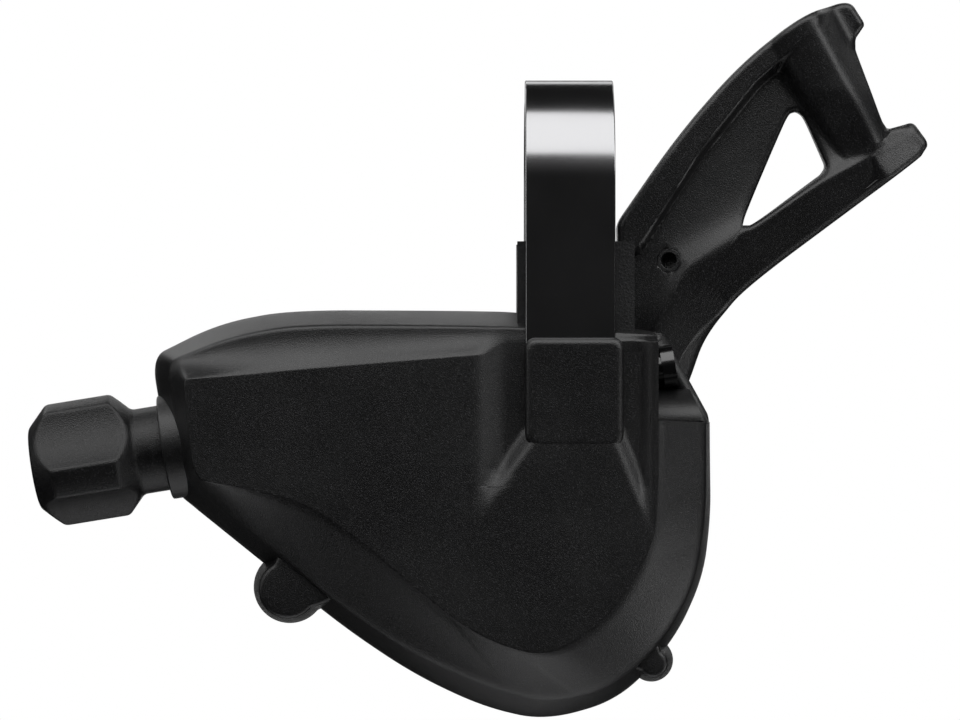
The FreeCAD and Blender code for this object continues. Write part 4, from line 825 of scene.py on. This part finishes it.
    def walled(self, rings: Array, edge: int) -> Shell:
        """Close the surface with an inner one: behind the face by the wall, and inside the rim by the wall.

        Args:
            rings: The outer surface, from the middle of the face to the joint.
            edge: Number of the ring at the rim.

        Returns:
            The closed skin, its inner side on every few rings.
        """
        picked = np.unique(np.concatenate([np.arange(0, len(rings), self.inner_stride), [len(rings) - 1]]))
        inner = rings[picked]
        aside = np.clip((picked - edge + self.inner_turn) / self.inner_turn, 0.0, 1.0)[:, None]
        gap = inner[..., [0, 2]] - self.middle
        reach = np.maximum(np.hypot(gap[..., 0], gap[..., 1]), self.wall)
        flat = self.middle + gap * (1.0 - self.wall * aside / reach)[..., None]
        level = np.minimum(inner[..., 1] + self.wall * (1.0 - aside), self.joint_y)
        return lofted(np.concatenate([rings, in_plane(flat, level)[::-1]]))

    def bump(self) -> Shell:
        """The raised pad before the band: a face that leans back downwards, a quarter round, then a wall.

        Returns:
            The closed skin.
        """
        low, high = np.array(self.bump_low), np.array(self.bump_high)
        turn = np.linspace(0.0, math.pi / 2, self.bump_edge_rows)
        inset = np.concatenate([
            np.linspace(self.bump_core, self.bump_edge, self.bump_face_rows)[:-1],
            self.bump_edge * (1.0 - np.sin(turn)), np.zeros(self.bump_wall_rows)])
        sunk = np.concatenate([
            np.zeros(self.bump_face_rows - 1), self.bump_edge * (1.0 - np.cos(turn)),
            np.linspace(self.bump_edge, self.bump_depth, self.bump_wall_rows + 1)[1:]])
        rows = []
        for step, drop in zip(inset, sunk):
            left, bottom, right, top = *(low + step), *(high - step)
            share = np.clip(self.bump_round[1] - step * self.bump_round_fall, *self.bump_round)
            above = share * self.bump_top_share
            flat = Outline(((right, top, above), (left, top, above),
                            (left, bottom, share), (right, bottom, share))).points(self.bump_points)
            lift = (flat[:, 1] - high[1]) / (low[1] - high[1])
            rows.append(in_plane(flat, self.bump_front + (self.bump_foot - self.bump_front) * lift + drop))
        return lofted(np.stack(rows), True, True)

    def ear(self, ear: Ear) -> Shell:
        """The cover's half of a screw ear: a tapered button."""
        return ear.shell([(self.ear_front, 0.0), (self.ear_front, ear.radius - self.ear_draft),
                          (self.joint_y, ear.radius), (self.joint_y, 0.0)], self.ear_edge)

    def build(self) -> None:
        """Make the cover's walled skin, and add the bump and the ears."""
        piece("top_cover_moulded", [self.skin()], "cover_plastic", "housing", ("top_cover",))
        extras = [self.bump(), *(self.ear(ear) for ear in EARS)]
        piece("top_cover_bosses", extras, "cover_plastic", "housing", ("top_cover",))


@dataclass
class BaseCase:
    """The moulded case behind the cover, with the adjuster's boss, the screw ears and the port's notch.

    The notch's front holds pairs of the plate's share and its Y, the ramp's slope pairs of Z and X.
    """

    joint_y: float = -3.0
    back_y: float = 9.5
    draft: float = 1.5
    edge: float = 1.8
    wall: float = 2.0
    boss_start: float = 44.0
    boss_end: float = 54.3
    boss_radius: float = 7.2
    boss_edge: float = 0.35
    boss_around: int = 96
    cup_radius: float = 6.22
    cup_depth: float = 5.8
    ear_back: float = 4.0
    ear_edge: float = 0.5
    notch_front: Path = ((1.0, -1.0), (0.995, -1.15), (0.98, -1.2))
    notch_back: float = 1.5
    notch_points: int = 12
    ramp_back: float = -1.0
    ramp_depth: float = 8.2
    ramp_foot: float = -33.0
    ramp_height: float = 4.4
    ramp_sole: float = 0.1
    ramp_start: float = 12.1
    ramp_slope: Path = ((-33.6, 19.0), (-32.6, 18.9), (-28.2, 16.8))
    ramp_sag: Pair = (0.5, 0.4)
    ramp_steps: int = 28
    ramp_rows: Run = (0.0, 0.9, 12)
    ramp_last: tuple[float, ...] = (0.94, 0.97, 0.99, 1.0)
    per_corner: int = 16
    wall_rows: int = 10
    edge_rows: int = 9
    back_rows: Run = (0.96, 0.0, 14)
    notch: Corners = (
        (11.6, -20.9, 0.05), (12.9, -21.0, 0.1), (17.0, -28.2, 0.2), (19.3, -32.6, 0.1),
        (19.3, -33.6, 0.05), (11.6, -33.6, 0.05))
    outline: Corners = (
        (12.9, -21.0, 0.1), (-6.0, -18.2, 0.3), (-38.6, -17.8, 0.4), (-48.5, -19.7, 0.45),
        (-57.7, -24.3, 0.2), (-54.6, -42.8, 0.15), (-31.6, -61.3, 0.4), (-21.7, -68.0, 0.45),
        (-12.0, -72.6, 0.45), (-3.3, -74.6, 0.45), (7.2, -71.6, 0.45), (14.7, -63.2, 0.45),
        (18.6, -54.6, 0.45), (19.6, -46.0, 0.4), (19.4, -32.6, 0.15), (17.0, -28.2, 0.3))
    middle: Pair = (-12.0, -40.0)

    def shell(self) -> Shell:
        """Rings along the drafted wall, round the back edge by a quarter circle and in to the back's middle.

        Returns:
            The skin, open at the joint.
        """
        outline = Outline(self.outline).points(self.per_corner)
        middle = np.array(self.middle)
        out = outline - middle
        reach = np.hypot(out[:, 0], out[:, 1])[:, None]
        turn = np.linspace(0.0, math.pi / 2, self.edge_rows)[1:]
        corner = self.back_y - self.edge
        levels = np.concatenate([np.linspace(self.joint_y, corner, self.wall_rows),
                                 corner + self.edge * np.sin(turn)])
        draft = self.draft * (levels - self.joint_y) / (self.back_y - self.joint_y)
        inward = np.concatenate([np.zeros(self.wall_rows), self.edge * (1 - np.cos(turn))]) + draft
        wall = middle + out * (1.0 - inward[:, None, None] / reach)
        back = in_plane(middle + (wall[-1] - middle) * spread(self.back_rows)[:, None, None], self.back_y)
        return lofted(np.concatenate([in_plane(wall, levels[:, None]), back]))

    def boss(self, line: CableLine) -> Shell:
        """The adjuster's boss: a cup turned about the cable line."""
        floor = self.boss_end - self.cup_depth
        profile = rounded_profile([
            (self.boss_start, 0.0), (self.boss_start, self.boss_radius), (self.boss_end, self.boss_radius),
            (self.boss_end, self.cup_radius), (floor, self.cup_radius), (floor, 0.0)], self.boss_edge)
        return lofted(line.turned(profile, self.boss_around))

    def ear(self, ear: Ear) -> Shell:
        """The case's half of a screw ear: a straight button."""
        return ear.shell([(self.joint_y, 0.0), (self.joint_y, ear.radius),
                          (self.ear_back, ear.radius), (self.ear_back, 0.0)], self.ear_edge)

    def notch_floor(self) -> Shell:
        """The wall behind the port: a plate with the case's slope as its edge."""
        flat = Outline(self.notch).points(self.notch_points)
        middle = flat.mean(0)
        front = [in_plane(middle + (flat - middle) * share, level) for share, level in self.notch_front]
        return lofted(np.stack([in_plane(flat, self.notch_back), *front]), True, True)

    def notch_ramp(self) -> Shell:
        """The rounded ramp below the port: a quarter ellipse in Y and Z, drawn out to the case's slope.

        Returns:
            The closed skin.
        """
        turn = np.linspace(math.pi / 2, 0.0, self.ramp_steps)
        rise = np.stack([self.ramp_back - self.ramp_depth * np.cos(turn),
                         self.ramp_foot + self.ramp_height * np.sin(turn)], 1)
        sole = self.ramp_foot - self.ramp_sole
        section = np.concatenate([rise, [(self.ramp_back - self.ramp_depth, sole), (self.ramp_back, sole)]])
        end = np.interp(section[:, 1], *np.array(self.ramp_slope).T)
        share = np.concatenate([spread(self.ramp_rows), self.ramp_last])[:, None]
        sag = smooth(share, self.ramp_rows[1], 1.0)
        rings = np.empty((len(share), len(section), 3))
        rings[..., 0] = self.ramp_start + (end - self.ramp_start) * share
        rings[..., 1] = section[:, 0] + self.ramp_sag[0] * sag
        rings[..., 2] = section[:, 1] - self.ramp_sag[1] * sag
        return lofted(rings, True, True)

    def build(self, line: CableLine) -> None:
        """Make the case of its shell, boss, ears and the floor and ramp of the port's notch."""
        case = piece("base_case_moulded", [self.shell()], "case_plastic", "housing", ("base_case",))
        wall = case.modifiers.new("wall", "SOLIDIFY")
        wall.thickness = self.wall * MM
        wall.offset = -1.0
        extras = [self.boss(line), *(self.ear(ear) for ear in EARS), self.notch_floor(), self.notch_ramp()]
        piece("base_case_bosses", extras, "case_plastic", "housing", ("base_case",))


@dataclass
class ThumbLever:
    """The moulded thumb lever: ribs round a recessed web, an open window, a wide paddle and a hub.

    Paths, lines and places are pairs of X and Z. A span gives where a smooth change starts and ends. The
    eye's profile holds pairs of depth below the web and radius.
    """

    front: float = 12.3
    back: float = 21.5
    web_front: float = 15.3
    web_back: float = 18.5
    paddle_front: float = 10.75
    paddle_back: float = 23.05
    hub_front: float = 11.0
    hub_back: float = 17.0
    hub_rise: float = 5.0
    hub_span: Pair = (9.8, 11.5)
    nut_span: Pair = (9.4, 12.5)
    edge: float = 0.9
    rib_path: Path = ((7.2, -5.2), (16.0, 7.3), (24.5, 17.0), (33.0, 23.7))
    rib_width: float = 5.0
    rib_narrowing: float = 1.8
    rib_height: float = 3.2
    rib_side: Pair = (-0.7, 0.9)
    rib_fall: float = 0.5
    crest: Path = ((10.0, -30.0), (13.2, -19.0), (17.2, -11.4), (25.2, -6.6), (36.6, 0.6), (49.0, 7.4),
                   (60.0, 13.4))
    crest_round: float = 0.6
    upper_drop: float = 1.6
    upper_slope: float = 0.06
    lower_slope: float = 0.32
    bend_start: Pair = (43.0, 4.0)
    bend_way: Pair = (0.9, 0.43)
    bend_slope: float = 0.2
    bend_round: float = 1.5
    ridge_line: Path = ((32.3, 26.5), (43.4, 5.9))
    steep_slope: float = 1.7
    steep_round: float = 2.2
    slow_slope: float = 0.3
    slow_round: float = 3.0
    slow_drop: float = 4.6
    slow_span: Pair = (4.0, 8.4)
    sink_depth: float = 1.7
    sink_span: Pair = (14.0, 5.0)
    hook_line: Path = ((43.4, 4.2), (46.6, 8.6))
    hook_lift: float = 0.2
    hook_slope: float = 6.0
    draft_width: float = 2.4
    draft_span: Pair = (-16.0, -25.0)
    draft_from_x: float = 12.0
    draft_slope: float = 0.85
    ridge_blend: float = 2.0
    web_blend: float = 0.6
    crest_blend: float = 0.5
    hook_blend: float = 0.4
    hub_blend: float = 0.3
    back_rib_span: Pair = (4.2, 2.8)
    back_ridge: Path = ((37.4, 23.6), (43.0, 6.6))
    back_curve: float = 0.09
    back_blend: float = 0.8
    axle: Pair = (0.5, -44.5)
    eye: Pair = (14.5, -10.6)
    eye_profile: Path = ((1.9, 0.0), (1.9, 1.05), (-0.05, 1.15), (-0.05, 1.7), (2.2, 1.75), (2.4, 0.0))
    eye_edge: float = 0.06
    eye_probe: float = 0.5
    eye_around: int = 64
    pit_depth: float = 2.2
    pit_span: Pair = (1.6, 1.2)
    per_corner: int = 18
    rows: tuple[Run, ...] = ((0.0, 0.12, 12), (0.14, 0.9, 50), (0.92, 1.0, 10))
    wall_rows: int = 8
    window_corners: int = 13
    outside: Corners = (
        (50.4, 4.1, 0.15), (51.7, 6.1, 0.3), (49.4, 9.2, 0.2), (45.7, 8.1, 0.25), (44.8, 9.4, 0.25),
        (41.2, 19.4, 0.1), (41.2, 21.2, 0.35), (42.6, 23.1, 0.2), (40.3, 26.7, 0.33), (33.0, 23.9, 0.4),
        (24.5, 17.2, 0.45), (16.0, 7.5, 0.45), (7.2, -5.2, 0.1), (7.4, -14.0, 0.3), (8.2, -25.0, 0.3),
        (-5.5, -35.0, 0.3), (-10.2, -44.5, 0.45), (-7.0, -52.0, 0.45), (0.5, -55.2, 0.45),
        (8.0, -52.0, 0.45), (11.4, -44.5, 0.45), (13.9, -36.0, 0.3), (17.4, -28.3, 0.4),
        (19.8, -21.3, 0.4), (25.4, -14.5, 0.3))
    inside: Corners = (
        (35.2, 1.0, 0.3), (36.2, 1.7, 0.4), (36.8, 2.6, 0.4), (36.8, 3.2, 0.4), (36.5, 3.9, 0.4),
        (34.4, 8.6, 0.3), (33.9, 9.6, 0.4), (33.5, 10.2, 0.4), (32.7, 10.7, 0.4), (31.6, 10.3, 0.4),
        (29.6, 5.8, 0.4), (27.2, 0.2, 0.4), (25.3, -4.4, 0.3), (25.0, -5.6, 0.02), (14.0, -22.0, 0.02),
        (4.5, -38.0, 0.02), *((0.5, -44.5, 0.02),) * 5, (4.5, -38.0, 0.02), (14.0, -22.0, 0.02),
        (25.0, -5.6, 0.02), (26.4, -5.6, 0.4))

    def hub_distance(self, flat: Array) -> Array:
        """Distance of points from the axle."""
        return np.hypot(flat[:, 0] - self.axle[0], flat[:, 1] - self.axle[1])

    def outer_rib(self, flat: Array) -> Array:
        """The outer rib: level over its width, which narrows along it, then a smooth side to the web."""
        far, _, along = path_distance(flat, np.array(self.rib_path))
        width = self.rib_width - self.rib_narrowing * along
        return self.front + self.rib_height * smooth(far, width + self.rib_side[0], width + self.rib_side[1])

    def lower_rib(self, far: Array, side: Array) -> Array:
        """The lower rib: a rounded crest that levels off as 1 - exp(-distance) above and falls evenly below.

        Args:
            far: Distance from the crest.
            side: Positive above it.

        Returns:
            The Y of the surface.
        """
        away = round_slope(far, 1.0, self.crest_round)
        upper = self.upper_drop * (1.0 - np.exp(-away / self.upper_drop)) + self.upper_slope * far
        return self.front + np.where(side > 0, upper, self.lower_slope * away)

    def paddle_ridge(self, flat: Array) -> Array:
        """The paddle's ridge: steep on its outboard side, slow and then dropping inboard, sinking downwards.

        Args:
            flat: Points of X and Z.

        Returns:
            The Y of the surface.
        """
        far, outboard = beside(flat, *self.ridge_line)
        steep = round_slope(far, self.steep_slope, self.steep_round)
        slow = round_slope(far, self.slow_slope, self.slow_round)
        slow += self.slow_drop * smooth(far, *self.slow_span)
        sinking = self.sink_depth * smooth(flat[:, 1], *self.sink_span)
        return self.paddle_front + sinking + slow + (steep - slow) * outboard

    def front_relief(self, flat: Array, edge: Array) -> Array:
        """Front surface: the foremost of the web, both ribs, the paddle's ridge, the hook and the hub.

        Past its bend the lower rib slopes back, and the hook with it. Low down the outer edge is drafted.

        Args:
            flat: Points of X and Z, of shape (n, 2).
            edge: Their distance from the outer edge.

        Returns:
            The Y of the surface.
        """
        web = np.full(len(flat), self.web_front)
        far, side, _ = path_distance(flat, np.array(self.crest))
        past = (flat - self.bend_start) @ np.array(self.bend_way)
        bend = self.bend_slope * (past + np.hypot(past, self.bend_round))
        lower = self.lower_rib(far, side) + bend
        rib = self.outer_rib(flat) + np.where(side > 0, 0.0, self.rib_fall * far)
        hook_far, inboard = beside(flat, *self.hook_line)
        hook = self.front - self.hook_lift + bend + self.hook_slope * inboard * hook_far
        hub = self.hub_front + self.hub_rise * smooth(self.hub_distance(flat), *self.hub_span)
        raised = soft_min(web, soft_min(rib, self.paddle_ridge(flat), self.ridge_blend), self.web_blend)
        height = soft_min(raised, lower, self.crest_blend)
        width = self.draft_width * smooth(flat[:, 1], *self.draft_span) * (flat[:, 0] > self.draft_from_x)
        drafted = self.draft_slope * np.maximum(width - edge, 0.0)
        return soft_min(soft_min(height, hook, self.hook_blend), hub, self.hub_blend) + drafted

    def eyelet(self) -> Shell:
        """The small blind eye of the web: a flush ring and a sunk floor, turned about the web's own slope.

        Returns:
            The closed skin.
        """
        x, z = self.eye
        probes = np.array([(x, z), (x + self.eye_probe, z), (x, z + self.eye_probe)])
        level, beyond, above = self.front_relief(probes, np.full(3, self.draft_width))
        axis = np.array([(level - beyond) / self.eye_probe, 1.0, (level - above) / self.eye_probe])
        axis /= np.linalg.norm(axis)
        front = np.cross(axis, (0.0, 0.0, 1.0))
        front /= np.linalg.norm(front)
        profile = rounded_profile(self.eye_profile, self.eye_edge)
        return lofted(turned(profile, np.array([x, level, z]), axis, front, self.eye_around))

    def back_relief(self, flat: Array, edge: Array) -> Array:
        """Back surface: the web between ribs of even width, the paddle and the seat of the axle nut.

        Args:
            flat: Points of X and Z, of shape (n, 2).
            edge: Their distance from the outer edge.

        Returns:
            The Y of the surface.
        """
        rib = self.web_back + (self.back - self.web_back) * smooth(edge, *self.back_rib_span)
        ridge_far, _, _ = path_distance(flat, np.array(self.back_ridge))
        height = soft_max(rib, self.paddle_back - self.back_curve * ridge_far ** 2, self.back_blend)
        return self.hub_back + (height - self.hub_back) * smooth(self.hub_distance(flat), *self.nut_span)

    def build(self) -> None:
        """Rings from the outer edge in to the window and the spine, front and back, joined at both edges.

        Near an edge both sides fall by a quarter circle.
        """
        outer, inner = (Outline(corners).points(self.per_corner) for corners in (self.outside, self.inside))
        flat = outer + (inner - outer) * spread(*self.rows)[:, None, None]
        around = len(outer)
        listed = flat.reshape(-1, 2)
        window = self.window_corners * self.per_corner
        mouth = np.concatenate([inner[:window], inner[-self.per_corner:]])
        edge = loop_distance(listed, outer)
        over = np.clip(1.0 - np.minimum(edge, loop_distance(listed, mouth)) / self.edge, 0.0, 1.0)
        drop = self.edge * (1.0 - np.sqrt(1.0 - over ** 2))
        pit = self.pit_depth * smooth(np.hypot(*(listed - self.eye).T), *self.pit_span)
        front = (self.front_relief(listed, edge) + drop + pit).reshape(flat.shape[:2])
        back = (self.back_relief(listed, edge) - drop).reshape(flat.shape[:2])
        wall = np.linspace(0.0, 1.0, self.wall_rows)[1:-1, None]
        level = back[0] + (front[0] - back[0]) * wall
        side = in_plane(np.broadcast_to(outer, (*level.shape, 2)), level)
        rings = np.concatenate([in_plane(flat, back)[::-1], side, in_plane(flat, front)])
        shell = lofted(rings)
        column = np.concatenate([np.arange(window), np.arange(around - self.per_corner, around)])
        after, last = (column + 1) % around, (len(rings) - 1) * around
        shell.faces += np.stack([last + column, last + after, after, column], 1).tolist()
        piece("thumb_lever_moulded", [shell, self.eyelet()], "lever_plastic", "lever", ("thumb_lever",))


# Stage

PART_MIDDLE = -0.025


@dataclass(frozen=True)
class Softbox:
    """A soft lamp about the part: azimuth from the camera's side towards +X, and elevation, in degrees.

    Distance, width and height are metres; radiance is what a mirror would show of it, with white as 1.
    """

    name: str
    azimuth: float
    elevation: float
    distance: float
    width: float
    height: float
    radiance: float

    def place(self) -> None:
        """Hang the lamp at its place, facing the part."""
        lamp = bpy.data.lights.new(self.name, "AREA")
        lamp.shape = "RECTANGLE"
        lamp.size, lamp.size_y = self.width, self.height
        lamp.energy = self.radiance * RADIANCE_TO_WATTS * self.width * self.height
        thing = bpy.data.objects.new(self.name, lamp)
        turn, lift = math.radians(self.azimuth), math.radians(self.elevation)
        level = self.distance * math.cos(lift)
        thing.location = (level * math.sin(turn), -level * math.cos(turn),
                          self.distance * math.sin(lift) + PART_MIDDLE)
        thing.rotation_euler = (math.pi / 2 - lift, 0.0, turn)
        thing.visible_camera = False
        bpy.context.scene.collection.objects.link(thing)


SOFTBOXES = (
    Softbox("key_box", -4.0, 57.0, 1.4, 3.0, 1.4, 2.5),
    Softbox("left_box", -80.0, 12.0, 1.3, 0.7, 0.75, 1.1),
    Softbox("right_box", 56.0, 22.0, 1.4, 0.6, 0.6, 3.4),
    Softbox("low_right_box", 80.0, -28.0, 1.3, 0.6, 0.6, 3.0),
    Softbox("back_box", 180.0, 30.0, 1.5, 2.0, 0.3, 1.3),
    Softbox("back_left_box", -135.0, 42.0, 1.4, 0.9, 0.6, 1.3),
    Softbox("back_right_box", 135.0, 42.0, 1.4, 0.9, 0.6, 1.3),
)


RAMP_SOCKETS = ("From Min", "From Max", "To Min", "To Max")


@dataclass
class Stage:
    """The photograph's setting: a camera square to the cover, a pale floor and a white world.

    The camera's place is in millimetres, the floor in metres. A ramp gives where it starts and ends, and its
    values there.
    """

    camera_place: tuple[float, float, float] = (-12.30, -620.0, -24.71)
    sensor_width: float = 36.0
    focal_length: float = 167.4
    clip: Pair = (0.01, 20.0)
    floor_radius: float = 0.36
    floor_level: float = -0.62
    floor_corners: int = 64
    floor_colour: Colour = (0.86, 0.86, 0.86)
    floor_roughness: float = 0.8
    even_light: Colour = (0.25, 0.25, 0.26)
    white: Colour = (1.0, 1.0, 1.0)
    behind_ramp: tuple[float, ...] = (0.93, 0.998, 0.0, 1.0)
    above_ramp: tuple[float, ...] = (0.1, 0.6, 0.0, 0.16)
    ahead_ramp: tuple[float, ...] = (0.05, -0.4, 0.0, 1.0)
    room_ramp: tuple[float, ...] = (0.0, 1.0, 0.015, 1.0)

    def camera(self) -> None:
        """Set the camera square to the cover, as in the photograph."""
        lens = bpy.data.cameras.new("camera")
        lens.sensor_width = self.sensor_width
        lens.lens = self.focal_length
        lens.clip_start, lens.clip_end = self.clip
        eye = bpy.data.objects.new("camera", lens)
        eye.location = [number * MM for number in self.camera_place]
        eye.rotation_euler = (math.pi / 2, 0.0, 0.0)
        bpy.context.scene.collection.objects.link(eye)
        bpy.context.scene.camera = eye

    def floor(self) -> None:
        """Lay a pale round floor well below the part."""
        angle = np.linspace(0.0, TURN, self.floor_corners, endpoint=False)
        rim = np.stack([self.floor_radius * np.cos(angle), self.floor_radius * np.sin(angle),
                        np.full(self.floor_corners, self.floor_level)], 1)
        mesh = bpy.data.meshes.new("floor")
        mesh.from_pydata(rim.tolist(), [], [list(range(self.floor_corners))])
        disc = bpy.data.objects.new("floor", mesh)
        bpy.context.scene.collection.objects.link(disc)
        pale = bpy.data.materials.new("pale_floor")
        pale.use_nodes = True
        preset(pale.node_tree.nodes["Principled BSDF"],
               {"Base Color": (*self.floor_colour, 1.0), "Roughness": self.floor_roughness})
        mesh.materials.append(pale)

    def world(self) -> None:
        """Make a world that is white to the camera and even to matt surfaces.

        Gloss sees that white behind the part, about +Y, and a dim room elsewhere, lighter up in front.
        """
        world = bpy.data.worlds.new("studio")
        bpy.context.scene.world = world
        world.use_nodes = True
        nodes = world.node_tree.nodes
        rays, place = nodes.new("ShaderNodeLightPath"), nodes.new("ShaderNodeTexCoord")
        parts = nodes.new("ShaderNodeSeparateXYZ")
        behind, above, ahead, room = (nodes.new("ShaderNodeMapRange") for _ in range(4))
        for ramp, numbers in ((behind, self.behind_ramp), (above, self.above_ramp),
                              (ahead, self.ahead_ramp), (room, self.room_ramp)):
            ramp.interpolation_type = "SMOOTHSTEP"
            preset(ramp, dict(zip(RAMP_SOCKETS, numbers)))
        front, whole, glossy = (nodes.new("ShaderNodeMath") for _ in range(3))
        front.operation, whole.operation, glossy.operation = "MULTIPLY", "ADD", "MAXIMUM"
        even, seen = nodes.new("ShaderNodeMix"), nodes.new("ShaderNodeMix")
        even.data_type = seen.data_type = "RGBA"
        preset(even, {"A": (*self.even_light, 1.0)})
        preset(seen, {"B": (*self.white, 1.0)})
        wire(world.node_tree, (place, "Generated", parts, "Vector"), (parts, "Y", behind, "Value"),
             (parts, "Z", above, "Value"), (parts, "Y", ahead, "Value"), (behind, "Result", room, "Value"),
             (above, "Result", front, 0), (ahead, "Result", front, 1), (front, "Value", whole, 0),
             (room, "Result", whole, 1), (rays, "Is Glossy Ray", glossy, 0),
             (rays, "Is Transmission Ray", glossy, 1), (glossy, "Value", even, "Factor"),
             (whole, "Value", even, "B"), (rays, "Is Camera Ray", seen, "Factor"),
             (even, "Result", seen, "A"), (seen, "Result", nodes["Background"], "Color"))
        bpy.context.scene.view_settings.view_transform = "Standard"

    def build(self) -> None:
        """Lay the floor, make the world, set the camera and hang the lamps."""
        self.floor()
        self.world()
        self.camera()
        for box in SOFTBOXES:
            box.place()


def dress_nodes() -> None:
    """Give every frame node that stays in sight the finish of its slot."""
    for slot, names in NODE_FINISH.items():
        for name in names:
            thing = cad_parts[name]
            thing.data.materials.clear()
            thing.data.materials.append(MATERIALS[slot])


def main() -> None:
    """Build the finishes, the sub-assemblies and the stage."""
    logging.basicConfig(level=logging.INFO, format="%(message)s")
    SparkGrain().group()
    HandlingFilm().group()
    for slot, finish in FINISHES.items():
        MATERIALS[slot] = finish.material()
    dress_nodes()
    line = CableLine()
    ClampBand().build()
    AdjusterKnob().build(line)
    TopCover().build()
    BaseCase().build(line)
    ThumbLever().build()
    Stage().build()


if __name__ == "__main__":
    main()
